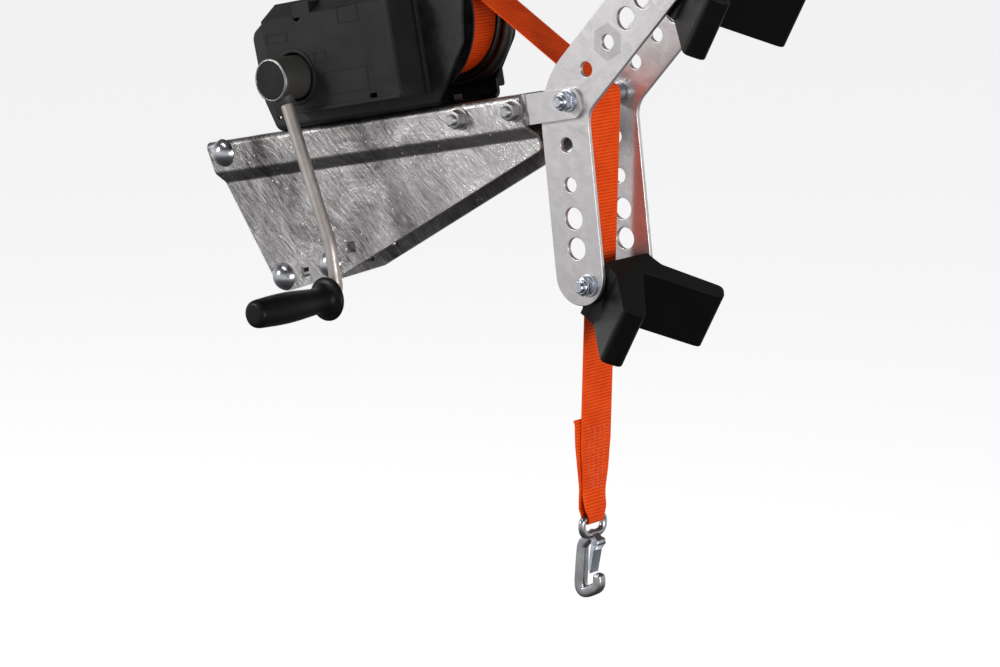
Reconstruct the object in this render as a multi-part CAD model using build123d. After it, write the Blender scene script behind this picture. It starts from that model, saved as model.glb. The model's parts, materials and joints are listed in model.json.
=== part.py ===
"""Boat trailer winch on its post bracket, with the bow stop and the webbing.

Row frame: the origin is the centre of the post pocket, +X points towards the boat, +Y away from the
crank and +Z up, in millimetres. The bracket and the winch rise towards the boat by TILT, so they are
drawn level, as points (x, z) with Y across, and turned about the Y axis at the end. The bow stop,
the webbing and the hook are drawn where they hang.
"""

import os
from math import acos, asin, atan2, cos, degrees, hypot, pi, radians, sin, sqrt, tan

from build123d import *

# Driving dimensions, in millimetres and degrees
TILT = 12.0  # the bracket's rise towards the boat
POST = 60.0  # square tube of the winch post
STEEL = 4.0  # bracket, link and winch frame sheet
WEB_W, WEB_T = 50.0, 2.0  # webbing width and thickness

# Fasteners: M12 through the bracket and the bow stop, M10 under the winch
SHANK = 6.0  # M12 bolt radius
HOLE = 6.5  # clearance hole radius for M12
ACROSS, HEAD_H, NUT_H = 18.0, 7.5, 10.8
WASHER_R, WASHER_T = 12.0, 2.5
THREAD_END = 18.0  # how far a bolt reaches past the last sheet
DOME_R, DOME_H, NECK = 16.0, 11.5, 12.0  # a carriage bolt's head and square neck
SMALL_R, SMALL_ACROSS_R, SMALL_HEAD = 5.0, 9.8, 6.4

# Bracket
GRIP_Y = POST / 2 + 0.25  # inner face of the plates where they clamp the post
STRIP_Y = 42.0  # inner face of the upper strip
TOP_Z = 120.0
BRACKET_END = 378.0
FLANGE_IN = 10.0  # inner edge of the top flange
CLAMP_BOLTS = {"top": (-78, 106), "rear": (-25, -43), "front": (51, -35)}
SPARE_HOLES = [(88, -19), (10, -41)]
STRIP_BOLT = (292, 104)
LINK_BOLT = (370, 104)
ELBOW = (446, 106)  # the bow stop's pivot bolt
LINK_H, LINK_Z, LINK_END = 32.5, 102.75, 462.0

# Winch
FRAME_Y = 40.0  # inner face of the winch frame's cheeks
BASE_BOLTS = [(80, -20), (230, -20), (80, 20), (230, 20)]
CRANK = (96.0, 177.0)  # crank shaft axis
TRAIN_RISE = 17.0  # the gear train's line, from the bracket's level
PRESSURE = 25.0  # gear pressure angle
BACKLASH = 0.3
M_FAST, Z_PINION, Z_WHEEL = 2.5, 14, 40  # crank pinion and intermediate gear
M_SLOW, Z_LAY, Z_DRUM = 3.0, 12, 40  # layshaft pinion and drum gear
DRUM_GEAR_TO = 38.3
CHEEK = FRAME_Y + STEEL
COVER = (56.0, 250.0, 137.0, 260.0)  # gear cover: x from, x to, z from, z to
COVER_Y = 86.0
COVER_WALL = 3.0
FAR_CAP = (188.0, 264.0, 132.0, 285.0)  # the far cap, likewise
FAR_CAP_T = 22.0
HUB_R, HUB_END = 24.0, 126.0
CAP_R = 21.0
LAY_R, PAWL_PIN_R, PAWL_EYE_R = 6.0, 4.0, 7.0
DISC_R, DISC_T = 22.0, 2.0  # brake discs, each side of the ratchet
RATCHET_FROM, RATCHET_TO = -65.0, -60.0
RATCHET_TEETH, RATCHET_TIP, RATCHET_ROOT = 16, 25.0, 20.0
PAWL_AIM = 80.0  # where the pawl meets the ratchet, round the crank shaft
PAWL_REACH, PAWL_NOSE = 38.0, 20.8  # from its pin to its nose, and the nose's depth in the wheel
PAWL_REST = 9.0  # the pawl is shown lifted clear, by this much
ROD_R, ROD_Y = 7.0, 112.0
ROD_KNEE, ROD_LEAN = 190.7, 23.2  # the rod's first run, and its lean from plumb at rest
ROD_TAIL, TAIL_LEAN = 56.8, 11.0  # the run below its knee
GRIP_FROM, GRIP_TO = 126.0, 243.0

# Drum
FLANGE_R, FLANGE_Y, FLANGE_T = 84.0, 27.0, 3.0
CORE_R = 30.0
HUB_TUBE_R, AXLE_R = 12.0, 8.0
WRAP_R = 67.0  # centreline of the webbing's outer turn
GAP = 0.3  # between bodies that move past each other
RUN = 0.06  # radial running clearance

# Bow stop
ARM_W, ARM_T, ARM_Y = 64.0, 5.0, 38.0
KNEE = (403.2, 195.5)  # where the legs' centrelines cross
STOP_AIM, LEG_SPREAD = -17.5, 65.0
LEG_HOLES = [(47.5, 8.0), (89.5, 8.0), (125.0, 11.75), (157.0, 11.75)]
LEG_END, PAD_ALONG, PAD_ASIDE = 186.0, 196.0, 12.0
PAD_AIM, PAD_TOP, PAD_FOOT, PAD_HALF_Y = 28.0, 29.0, -36.5, 37.5
WING_ANGLE, WING_L, WING_T = 45.0, 94.0, 25.0  # length along the inner face
GROOVE_X = 27.0  # the bottom of the V, from the pad's bolt
PAD_BACK_R = 11.0
ROLLER_R, SLEEVE_R = 11.0, 8.5

# Webbing and hook
ROLLER_WRAP = ROLLER_R + WEB_T / 2
# The free webbing's centreline, as row-frame (X, Z): drum, round the guide roller, to the hook's eye
STRAP_ROUTE = [(217.4, 321.9), (426.4, 203.3), (413.4, -262.3)]
SEWN_L = 107.0  # the doubled end
TAIL_DRAWN = 120.0  # the part of the last run that is drawn with the doubled end
# The doubled end's half width at heights above the hook's eye
TAPER = [(85.0, 25.0), (12.0, 17.5), (2.0, 12.5), (-20.0, 12.5)]
FOLD_TOP = 22.0  # where the fold's two sides part to go round the eye
WRAP_TURN = 24.0  # how far the webbing's last turn is drawn back round the drum
EYE_BAR_R, EYE_HALF, EYE_DEEP = 4.0, 18.0, 18.0
HOOK_R, HOOK_DEEP = 6.0, 90.0  # forged section, and how deep its bend's corner is below the eye
LATCH_HALF, LATCH_SHEET = 7.2, 1.5
LATCH_PIN_R, LUG_R, LUG_HALF = 1.5, 4.5, 5.4


def train(distance):
    """A point on the gear train's line, that far from the crank shaft."""
    a = radians(TRAIN_RISE)
    return CRANK[0] + distance * cos(a), CRANK[1] + distance * sin(a)


FAST_CENTRES = M_FAST * (Z_PINION + Z_WHEEL) / 2
SLOW_CENTRES = M_SLOW * (Z_LAY + Z_DRUM) / 2
LAY = train(FAST_CENTRES)
DRUM = train(FAST_CENTRES + SLOW_CENTRES)


def level(point):
    """Row-frame (X, Z) of a point given in the bracket's own level (x, z)."""
    x, z = point
    a = radians(TILT)
    return x * cos(a) - z * sin(a), x * sin(a) + z * cos(a)


def raised(shape):
    """Turns a part drawn level in the bracket into the row frame."""
    return Rot(0, -TILT, 0) * shape


# ---- shapes along Y ------------------------------------------------------------------------------
def slab(sketch, y0, y1):
    """A side-view sketch, drawn as (x, z), made solid from y0 to y1."""
    return Pos(0, max(y0, y1), 0) * Rot(90, 0, 0) * extrude(sketch, abs(y1 - y0))


def rod(point, y0, y1, r):
    return slab(Pos(*point) * Circle(r), y0, y1)


def tube(point, y0, y1, r, bore):
    return slab(Pos(*point) * (Circle(r) - Circle(bore)), y0, y1)


def hexagon(point, y0, y1, across, turn=0.0):
    return slab(Pos(*point) * Rot(0, 0, turn) * RegularPolygon(across / sqrt(3), 6), y0, y1)


def turned(point, profile):
    """A profile of (radius, y) points turned about the Y axis through point."""
    face = make_face(Polyline(*profile, close=True))
    return Pos(point[0], 0, point[1]) * revolve(face, Axis.Y)


def outline(*points):
    return make_face(Polyline(*points, close=True))


def rounded(*corners):
    """A closed side-view outline whose corners are (x, z, radius)."""
    points = [(x, z) for x, z, r in corners]
    return make_face(FilletPolyline(*points, radius=[r for x, z, r in corners], close=True))


def square(point, size):
    return Pos(*point) * Rectangle(size, size)


# ---- fasteners -----------------------------------------------------------------------------------
def carriage_bolt(point, face, far_face):
    """A domed bolt: head on -face, square neck in the plate, thread end beyond far_face."""
    ball = (DOME_R**2 + DOME_H**2) / (2 * DOME_H)
    x, z = point
    dome = Pos(x, -face - DOME_H + ball, z) * Sphere(ball)
    dome = dome & rod(point, -face - DOME_H, -face, DOME_R)
    neck = slab(square(point, NECK), -face, -face + STEEL)
    return dome + neck + rod(point, -face + STEEL, far_face + THREAD_END, SHANK)


def hex_bolt(point, face):
    """A hex bolt with its head and washer on +face and its thread end beyond -face."""
    seat = face + WASHER_T
    body = hexagon(point, seat, seat + HEAD_H, ACROSS) + rod(point, face, seat, WASHER_R)
    return body + rod(point, -face - THREAD_END, face, SHANK)


def nut(point, face, way, height=NUT_H, lock=0.0):
    """A nut and its washer on a face at Y = face, standing off it in the way direction, +1 or -1."""
    seat = face + way * WASHER_T
    top = seat + way * height
    body = tube(point, face, seat, WASHER_R, SHANK) + hexagon(point, seat, top, ACROSS, 12)
    if lock:
        body += rod(point, top, top + way * lock, SHANK + 2.2)
    return body - rod(point, face - way, top + way * (lock + 1), SHANK)


def lock_nut(point, face):
    return nut(point, face, -1, height=9, lock=3)


# ---- bracket -------------------------------------------------------------------------------------
def side_outline():
    return rounded(
        (-104, TOP_Z + 1, 0), (-104, 114, 4), (-94, 72, 8), (-44, -38, 14), (-30, -61, 14),
        (69, -48, 8), (390, 60, 7), (BRACKET_END, 92, 4), (BRACKET_END, TOP_Z + 1, 0),
    )


def side_plate():
    """The far plate: clamped strip, joggle out to the upper strip, and the top flange turned in."""
    half = STEEL / 2
    bend = FilletPolyline(
        (GRIP_Y + half, -70), (GRIP_Y + half, 73), (STRIP_Y + half, 84.7),
        (STRIP_Y + half, TOP_Z - half), (FLANGE_IN, TOP_Z - half), radius=[6, 4, 5],
    )
    sheet = Plane.YZ * extrude(trace(bend, STEEL), BRACKET_END + 130)
    plate = Pos(-110, 0, 0) * sheet & slab(side_outline(), 0, 60)
    plate -= Pos(-52, GRIP_Y / 2, TOP_Z - half) * Box(104, GRIP_Y, 2 * STEEL)
    plate -= Pos(BRACKET_END, STRIP_Y / 2, TOP_Z) * Box(82, STRIP_Y, 60)
    for point in [CLAMP_BOLTS["top"], CLAMP_BOLTS["rear"], CLAMP_BOLTS["front"]] + SPARE_HOLES:
        plate -= slab(square(point, 12.5), 0, 60)
    for point in [STRIP_BOLT, LINK_BOLT]:
        plate -= rod(point, 0, 60, HOLE)
    for x, y in BASE_BOLTS:
        if y > 0:
            plate -= Pos(x, y, TOP_Z) * Cylinder(5.5, 20)
    return plate


def link_plate():
    """The far link: inside the upper strip at its bolt, stepped out past the arm at the elbow."""
    outer = ARM_Y + ARM_T + GAP + STEEL / 2
    inner = STRIP_Y - STEEL / 2
    step = FilletPolyline((343, inner), (384, inner), (384 + outer - inner, outer), (480, outer), radius=4)
    sheet = Pos(0, 0, 60) * extrude(trace(step, STEEL), 80)
    low, high = LINK_Z - LINK_H / 2, LINK_Z + LINK_H / 2
    side = rounded((343, low, 2), (LINK_END, low, 12), (LINK_END, high, 12), (343, high, 2))
    return sheet & slab(side, 0, 80) - rod(LINK_BOLT, 0, 80, HOLE) - rod(ELBOW, 0, 80, SHANK + 0.25)


def mirrored(part):
    return part.mirror(Plane.XZ)


# ---- winch frame, cover, axles -------------------------------------------------------------------
def winch_frame():
    """One sheet bent up into a base and two cheeks."""
    mid = FRAME_Y + STEEL / 2
    base = TOP_Z + STEEL / 2
    bend = FilletPolyline((-mid, 320), (-mid, base), (mid, base), (mid, 320), radius=6)
    sheet = Plane.YZ * extrude(trace(bend, STEEL), 400)
    side = rounded(
        (14, TOP_Z, 3), (0, 157, 12), (-3, 232, 14), (38, 256, 20), (150, 258, 16), (185, 298, 25),
        (270, 298, 30), (318, 262, 20), (318, 231, 15), (309, 184, 20), (258, TOP_Z, 4),
    )
    foot = outline((240, TOP_Z), (240, 146), (274, 146), (274, TOP_Z))  # the far cheek's longer foot
    frame = Pos(-20, 0, 0) * sheet & (slab(side, -60, 60) + slab(foot, FRAME_Y - STEEL, 60))
    frame -= rod(CRANK, -60, 0, 12) + rod(CRANK, 0, 60, AXLE_R + RUN)
    frame -= rod(LAY, -60, 0, 9) + rod(DRUM, -60, 60, AXLE_R)
    frame -= rod((18.8, 137), -60, 60, 3.5)
    frame -= slab(Pos(262, 262) * Rectangle(12, 40), -60, 0)
    for x, y in BASE_BOLTS:
        frame -= Pos(x, y, TOP_Z) * Cylinder(5.5, 20)
    return frame


def gear_cover():
    """The plastic cover over the gears and the brake, open towards the cheek."""
    x0, x1, z0, z1 = COVER
    depth = COVER_Y - CHEEK
    bevel_y, bevel_z = 26.0, 17.0
    def shell(inset, y0):
        profile = outline(
            (-CHEEK + y0, z0 + inset), (-COVER_Y + inset, z0 + inset),
            (-COVER_Y + inset, z1 - bevel_z - inset * 0.55),
            (-COVER_Y + bevel_y + inset * 0.55, z1 - inset), (-CHEEK + y0, z1 - inset),
        )
        return Pos(x0 + inset, 0, 0) * (Plane.YZ * extrude(profile, x1 - x0 - 2 * inset))
    cover = shell(0, 0) - shell(COVER_WALL, 1)
    cover += tube(CRANK, -COVER_Y - 2, -COVER_Y, 31, 27)
    cover += rod(LAY, -COVER_Y + COVER_WALL, -COVER_Y + 12, 10)
    cover += rod(pawl_pivot(), -COVER_Y + COVER_WALL, -COVER_Y + 18, 8)
    cover -= rod(CRANK, -COVER_Y - 5, -COVER_Y + 20, 26.5)
    cover -= rod(LAY, -COVER_Y + 5.5, -CHEEK, 6 + RUN)
    cover -= rod(pawl_pivot(), -COVER_Y + 3, -CHEEK, 4)
    cover -= rod((x0 + 38, z1 - 26), -COVER_Y - 1, -COVER_Y + 2, 4.5)
    cover -= Pos(x1 - 30, -COVER_Y, z0) * Box(14, 6, 5)
    return cover


def far_cover():
    """The shallow plastic cap over the axle's nut on the far cheek."""
    x0, x1, z0, z1 = FAR_CAP
    side = rounded((x1, z0, 3), (x1, z1, 16), (x0, z1, 16), (x0, z0, 3))
    block = slab(side, CHEEK, CHEEK + FAR_CAP_T)
    return block - slab(offset(side, -COVER_WALL), CHEEK, CHEEK + FAR_CAP_T - COVER_WALL)


def drum_axle():
    return rod(DRUM, -CHEEK - 7, -CHEEK, 10.5) + rod(DRUM, -CHEEK, CHEEK + 12, AXLE_R)


def drum_axle_nut():
    return hexagon(DRUM, CHEEK, CHEEK + 8, 24) - rod(DRUM, CHEEK - 1, CHEEK + 9, AXLE_R)


def base_bolt(x, y):
    """An M10 bolt through the winch's base and the bracket's flange, with its nut below."""
    seat = TOP_Z + STEEL
    head = extrude(RegularPolygon(SMALL_ACROSS_R, 6), SMALL_HEAD)
    bolt = Pos(x, y, seat) * head + Pos(x, y, seat - 14) * Cylinder(SMALL_R, 28)
    nut_below = Pos(x, y, TOP_Z - STEEL - 8) * extrude(RegularPolygon(SMALL_ACROSS_R, 6), 8)
    nut_below -= Pos(x, y, TOP_Z) * Cylinder(SMALL_R, 60)
    return Compound(children=[bolt, nut_below])


# ---- gears and brake -----------------------------------------------------------------------------
def involute(angle):
    return tan(angle) - angle


def gear_sketch(module, teeth, aim):
    """An external spur gear, with the middle of a tooth in the aim direction, in degrees."""
    pitch = module * teeth / 2
    base = pitch * cos(radians(PRESSURE))
    tip, root = pitch + module, pitch - 1.25 * module
    start = max(base, root)
    half = pi / (2 * teeth) - BACKLASH / (4 * pitch) + involute(radians(PRESSURE))
    def spot(r, side, middle):
        off = half - involute(acos(min(1.0, base / r)))
        a = middle + side * off
        return r * cos(a), r * sin(a)
    def polar(r, a):
        return r * cos(a), r * sin(a)
    edges = []
    for i in range(teeth):
        mid = radians(aim) + 2 * pi * i / teeth
        nxt = mid + 2 * pi / teeth
        middle_r = (start + tip) / 2
        rise = [spot(r, -1, mid) for r in (start, middle_r, tip)]
        fall = [spot(r, 1, mid) for r in (tip, middle_r, start)]
        onward = spot(start, -1, nxt)
        foot_a, foot_b = atan2(fall[2][1], fall[2][0]), atan2(onward[1], onward[0])
        edges.append(ThreePointArc(*rise))
        edges.append(Line(rise[2], fall[0]))
        edges.append(ThreePointArc(*fall))
        if start > root:
            edges.append(Line(fall[2], polar(root, foot_a)))
            edges.append(Line(polar(root, foot_a), polar(root, foot_b)))
            edges.append(Line(polar(root, foot_b), onward))
        else:
            edges.append(Line(fall[2], onward))
    return make_face(edges)


def layshaft():
    pinion = Pos(*LAY) * gear_sketch(M_SLOW, Z_LAY, TRAIN_RISE)
    return slab(pinion, -FRAME_Y + 1.2, -31) + rod(LAY, -COVER_Y + 6, -31, LAY_R)


def intermediate_gear():
    wheel = Pos(*LAY) * gear_sketch(M_FAST, Z_WHEEL, TRAIN_RISE + 180 + 180 / Z_WHEEL)
    return slab(wheel, -55, -46.5) - rod(LAY, -60, -40, LAY_R)


def drum_gear():
    wheel = Pos(*DRUM) * gear_sketch(M_SLOW, Z_DRUM, TRAIN_RISE + 180 + 180 / Z_DRUM)
    return slab(wheel, -DRUM_GEAR_TO, -FLANGE_Y - FLANGE_T) - rod(DRUM, -60, 0, HUB_TUBE_R)


def crank_shaft():
    pinion = Pos(*CRANK) * gear_sketch(M_FAST, Z_PINION, TRAIN_RISE)
    shaft = slab(pinion, -55.3, -46.2) + rod(CRANK, -58, -55.3, DISC_R)
    return shaft + rod(CRANK, -ROD_Y, CHEEK + 4, AXLE_R)


def brake_disc(y):
    return tube(CRANK, y, y + DISC_T, DISC_R, AXLE_R)


def round_crank(r, angle):
    """A point of the ratchet's plane, from the crank shaft."""
    return CRANK[0] + r * cos(radians(angle)), CRANK[1] + r * sin(radians(angle))


def pawl_pivot():
    """The pin stands square to the nose's face, so the nose leaves a tooth straight outwards."""
    x, z = round_crank((RATCHET_TIP + RATCHET_ROOT) / 2, PAWL_AIM)
    a = radians(PAWL_AIM - 90)
    return x + PAWL_REACH * cos(a), z + PAWL_REACH * sin(a)


def ratchet_wheel():
    step = 360 / RATCHET_TEETH
    def at(r, angle):
        return r * cos(radians(angle)), r * sin(radians(angle))
    points = []
    for i in range(RATCHET_TEETH):
        face = PAWL_AIM + 0.9 + i * step
        points += [at(RATCHET_ROOT, face), at(RATCHET_TIP, face)]
    return slab(Pos(*CRANK) * (outline(*points) - Circle(AXLE_R + RUN)), RATCHET_FROM, RATCHET_TO)


def pawl():
    """An eye on its pin and a nose that drops between two ratchet teeth."""
    px, pz = pawl_pivot()
    nose = [round_crank(PAWL_NOSE, PAWL_AIM), round_crank(RATCHET_TIP + 0.6, PAWL_AIM - 21)]
    heel = round_crank(RATCHET_TIP + 1, PAWL_AIM)
    body = outline(*nose, (px - 2, pz - PAWL_EYE_R + 0.3), (px - 2, pz + PAWL_EYE_R - 0.3), heel)
    body += Pos(px, pz) * Circle(PAWL_EYE_R)
    body -= Pos(px, pz) * Circle(PAWL_PIN_R + RUN)
    lifted = Pos(px, pz) * Rot(Z=-PAWL_REST) * Pos(-px, -pz) * body
    return slab(lifted, RATCHET_FROM + GAP, RATCHET_TO - GAP)


def lean(angle, length):
    """The step (X, Z) of a run that leans that far from plumb, going down."""
    return length * sin(radians(angle)), -length * cos(radians(angle))


def crank_end():
    """Where the grip's axis meets the crank's plane."""
    x, z = level(CRANK)
    first, second = lean(ROD_LEAN, ROD_KNEE), lean(TAIL_LEAN, ROD_TAIL)
    return x + first[0] + second[0], z + first[1] + second[1]


def rod_start():
    x, z = level(CRANK)
    dx, dz = lean(ROD_LEAN, 9)
    return (x + dx, -ROD_Y, z + dz), (dx, 0, dz)


def crank_arm():
    """The bent rod from the hub, through its shallow knee, to the grip's axle."""
    x, z = level(CRANK)
    dx, dz = lean(ROD_LEAN, ROD_KNEE)
    end_x, end_z = crank_end()
    path = FilletPolyline(
        rod_start()[0], (x + dx, -ROD_Y, z + dz), (end_x, -ROD_Y, end_z),
        (end_x, -GRIP_TO + 12, end_z), radius=[60, 14],
    )
    section = Plane(origin=path @ 0, z_dir=path % 0) * Circle(ROD_R)
    return sweep(section, path=path)


def crank_hub():
    y, back = -HUB_END, RATCHET_FROM - DISC_T
    body = turned(CRANK, [(AXLE_R, back), (HUB_R, back), (HUB_R, y + 1.5), (HUB_R - 1.5, y),
                          (CAP_R, y), (CAP_R, y + 3), (AXLE_R, y + 3)])
    body += rod(CRANK, y + 3, -ROD_Y, AXLE_R)
    origin, way = rod_start()
    return raised(body) - Plane(origin=origin, z_dir=way) * extrude(Circle(ROD_R), 40)


def hub_cap():
    """The ridged plug in the hub's end."""
    cap = rod(CRANK, -HUB_END - 1, -HUB_END + 3, CAP_R)
    for i in range(-3, 4):
        cap -= Pos(CRANK[0] + i * 5, -HUB_END - 1, CRANK[1]) * Box(1.6, 1, 60)
    return cap


def grip():
    """The turned handle on the crank's axle, with a hand guard at its inner end."""
    end = crank_end()
    y = -GRIP_FROM
    bore = ROD_R + RUN
    guard = Polyline((bore, y), (23, y), (24, y - 2), (24, y - 5), (17, y - 10), (14.3, y - 16))
    swell = ThreePointArc((14.3, y - 16), (17, y - 55), (15.5, -GRIP_TO + 7))
    nose = ThreePointArc((15.5, -GRIP_TO + 7), (14, -GRIP_TO + 2), (10, -GRIP_TO))
    rest = Polyline((10, -GRIP_TO), (0, -GRIP_TO), (0, -GRIP_TO + 10), (bore, -GRIP_TO + 10), (bore, y))
    face = make_face(guard + swell + nose + rest)
    return Pos(end[0], 0, end[1]) * revolve(face, Axis.Y)


# ---- drum ----------------------------------------------------------------------------------------
def drum_hub():
    return tube(DRUM, -38.6, 38.6, HUB_TUBE_R, AXLE_R + RUN)


def drum_core():
    return tube(DRUM, -FLANGE_Y, FLANGE_Y, CORE_R, CORE_R - 3)


def near_flange():
    y = -FLANGE_Y
    return tube(DRUM, y - FLANGE_T, y, FLANGE_R, HUB_TUBE_R)


def far_flange():
    """A pressed disc whose rim steps out and rolls back, so that the webbing can't catch."""
    y = FLANGE_Y
    t = FLANGE_T
    return turned(DRUM, [
        (HUB_TUBE_R, y), (66, y), (71, y + 3.5), (76, y + 3.5), (80, y + 1), (FLANGE_R, y + 4),
        (FLANGE_R, y + 10), (FLANGE_R - 3, y + 11), (FLANGE_R - 3, y + 5.5), (79.5, y + 4.4),
        (77, y + 3.5 + t), (69.5, y + 3.5 + t), (64.5, y + t), (HUB_TUBE_R, y + t),
    ])


def webbing_roll():
    return tube(DRUM, -WEB_W / 2, WEB_W / 2, WRAP_R - WEB_T / 2 - GAP, CORE_R)


# ---- bow stop ------------------------------------------------------------------------------------
def leg_frame(side):
    """Unit vectors along a leg and towards the boat, side +1 for the upper leg and -1 for the lower."""
    a = radians(STOP_AIM + side * LEG_SPREAD)
    along = (cos(a), sin(a))
    aside = (sin(a) * side, -cos(a) * side)
    return along, aside


def leg_point(side, along, aside=0.0):
    u, v = leg_frame(side)
    return KNEE[0] + along * u[0] + aside * v[0], KNEE[1] + along * u[1] + aside * v[1]


def knee_vertex(way):
    """The sharp corner of the plate at the knee, way +1 on the boat's side and -1 on the winch's."""
    reach = way * ARM_W / 2 / sin(radians(LEG_SPREAD))
    aim = radians(STOP_AIM)
    return KNEE[0] + reach * cos(aim), KNEE[1] + reach * sin(aim)


def arm():
    """The far boomerang plate, with its row of holes down each leg."""
    half = ARM_W / 2
    sketch = rounded(
        (*leg_point(1, LEG_END, half), 0), (*knee_vertex(1), 28), (*leg_point(-1, LEG_END, half), 0),
        (*leg_point(-1, LEG_END, -half), 0), (*knee_vertex(-1), 100), (*leg_point(1, LEG_END, -half), 0),
    )
    for side in (1, -1):
        sketch += Pos(*leg_point(side, LEG_END)) * Circle(half)
        for along, r in LEG_HOLES:
            sketch -= Pos(*leg_point(side, along)) * Circle(r)
        sketch -= Pos(*leg_point(side, PAD_ALONG, PAD_ASIDE)) * Circle(HOLE)
    sketch -= Pos(*level(ELBOW)) * Circle(SHANK + RUN)
    return slab(sketch, ARM_Y, ARM_Y + ARM_T)


def pad(side):
    """A moulded rubber V: a block between the arms, and two wings that take the boat's stem."""
    front = 30.0
    block = outline((3, PAD_TOP), (front, PAD_TOP), (front, PAD_FOOT), (8, PAD_FOOT), (-1, -28.5),
                    (-10.5, -3), (-9, 7))
    body = slab(block + Circle(PAD_BACK_R), -PAD_HALF_Y, PAD_HALF_Y)
    a = radians(WING_ANGLE)
    root = GROOVE_X - WING_T / 2 / sin(a)
    reach = WING_L + WING_T / 2 / tan(a)
    vee = Polyline((root + reach * cos(a), reach * sin(a)), (root, 0),
                   (root + reach * cos(a), -reach * sin(a)))
    height = PAD_TOP - PAD_FOOT
    wings = Pos(0, 0, PAD_FOOT) * extrude(trace(vee, WING_T), height)
    wings &= Pos(front - 6 + 100, 0, 0) * Box(200, 200, 200)
    groove = outline((GROOVE_X, 0), (GROOVE_X + 50, 50 * tan(a)), (GROOVE_X + 50, -50 * tan(a)))
    body -= Pos(0, 0, PAD_FOOT - 1) * extrude(groove, height + 2)
    shape = body + wings - rod((0, 0), -60, 60, SHANK + RUN)
    x, z = leg_point(side, PAD_ALONG, PAD_ASIDE)
    return Pos(x, 0, z) * Rot(0, PAD_AIM, 0) * shape


# ---- webbing and hook ----------------------------------------------------------------------------
def strap_tail():
    """The length of the webbing's last run and its lean from plumb, in degrees."""
    corner, end = STRAP_ROUTE[1:]
    return hypot(corner[0] - end[0], corner[1] - end[1]), degrees(atan2(corner[0] - end[0], corner[1] - end[1]))


def strap_lead():
    """The free webbing with its end folded round the hook's eye and sewn."""
    drum = level(DRUM)
    start = degrees(atan2(STRAP_ROUTE[0][1] - drum[1], STRAP_ROUTE[0][0] - drum[0]))
    def on_drum(turn):
        a = radians(start + turn)
        return drum[0] + WRAP_R * cos(a), drum[1] + WRAP_R * sin(a)
    wrap = ThreePointArc(on_drum(WRAP_TURN), on_drum(WRAP_TURN / 2), on_drum(0))
    run, lean_back = strap_tail()
    corner = STRAP_ROUTE[1]
    joint = [corner[i] + (STRAP_ROUTE[2][i] - corner[i]) * (1 - TAIL_DRAWN / run) for i in (0, 1)]
    route = FilletPolyline(on_drum(0), corner, tuple(joint), radius=ROLLER_WRAP)
    upper = slab(trace(wrap + route, WEB_T), -WEB_W / 2, WEB_W / 2)

    loop_r = EYE_BAR_R + GAP + WEB_T
    tail = Pos(0, -TAIL_DRAWN / 2) * Rectangle(WEB_T, TAIL_DRAWN)
    tail += Pos(-WEB_T / 2, SEWN_L / 2 - TAIL_DRAWN) * Rectangle(2 * WEB_T, SEWN_L)
    tail += Pos(-WEB_T / 2, -TAIL_DRAWN) * Circle(loop_r)
    tail += outline((-1.5 * WEB_T, FOLD_TOP - TAIL_DRAWN), (WEB_T / 2, FOLD_TOP - TAIL_DRAWN),
                    (loop_r - WEB_T / 2 - 0.2, -TAIL_DRAWN), (0.2 - loop_r - WEB_T / 2, -TAIL_DRAWN))
    tail -= Pos(-WEB_T / 2, -TAIL_DRAWN) * Circle(EYE_BAR_R + GAP)
    lower = slab(tail, -WEB_W / 2, WEB_W / 2)
    side = [(WEB_W / 2, 0)] + [(half, above - TAIL_DRAWN) for above, half in TAPER]
    front = outline(*side, *[(-y, z) for y, z in reversed(side)])
    lower &= Pos(-50, 0, 0) * (Plane.YZ * extrude(front, 100))
    return upper + Pos(joint[0], 0, joint[1]) * Rot(0, lean_back, 0) * lower


def eye_centre():
    x, z = STRAP_ROUTE[2]
    a = radians(strap_tail()[1])
    return x - WEB_T / 2 * cos(a), z + WEB_T / 2 * sin(a)


def hook():
    """A forged hook: an eye the webbing loops through, a shank and a round throat."""
    x, z = eye_centre()
    low = z - EYE_DEEP
    ring = FilletPolyline((x, -EYE_HALF, z), (x, EYE_HALF, z), (x, EYE_HALF, low), (x, -EYE_HALF, low),
                          (x, -EYE_HALF, z), close=True, radius=6.5)
    ring = sweep(Plane(origin=ring @ 0.1, z_dir=ring % 0.1) * Circle(EYE_BAR_R), path=ring)
    tip_x, tip_z = hook_tip()
    bend = FilletPolyline((x, 0, low), (x - 13.5, 0, low - 14), (x - 17, 0, z - HOOK_DEEP),
                          (tip_x + 1, 0, z - HOOK_DEEP + 14), (tip_x, 0, tip_z), radius=[9, 10, 12])
    throat = sweep(Plane(origin=bend @ 0, z_dir=bend % 0) * Circle(HOOK_R), path=bend)
    nose = Pos(tip_x, 0, tip_z) * Sphere(HOOK_R)
    px, pz = latch_pivot()
    side = 3.0
    lug = rod((px, pz), -LUG_HALF, LUG_HALF, LUG_R)
    lug += slab(outline((x - side, low - side), (px - side, pz - side), (px + side, pz + side),
                        (x + side, low + side)), -LUG_HALF, LUG_HALF)
    return ring + throat + nose + lug - rod((px, pz), -8, 8, LATCH_PIN_R + RUN)


def hook_tip():
    x, z = eye_centre()
    return x + 9, z - 62


def latch_pivot():
    x, z = eye_centre()
    return x + 8.5, z - 26


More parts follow.
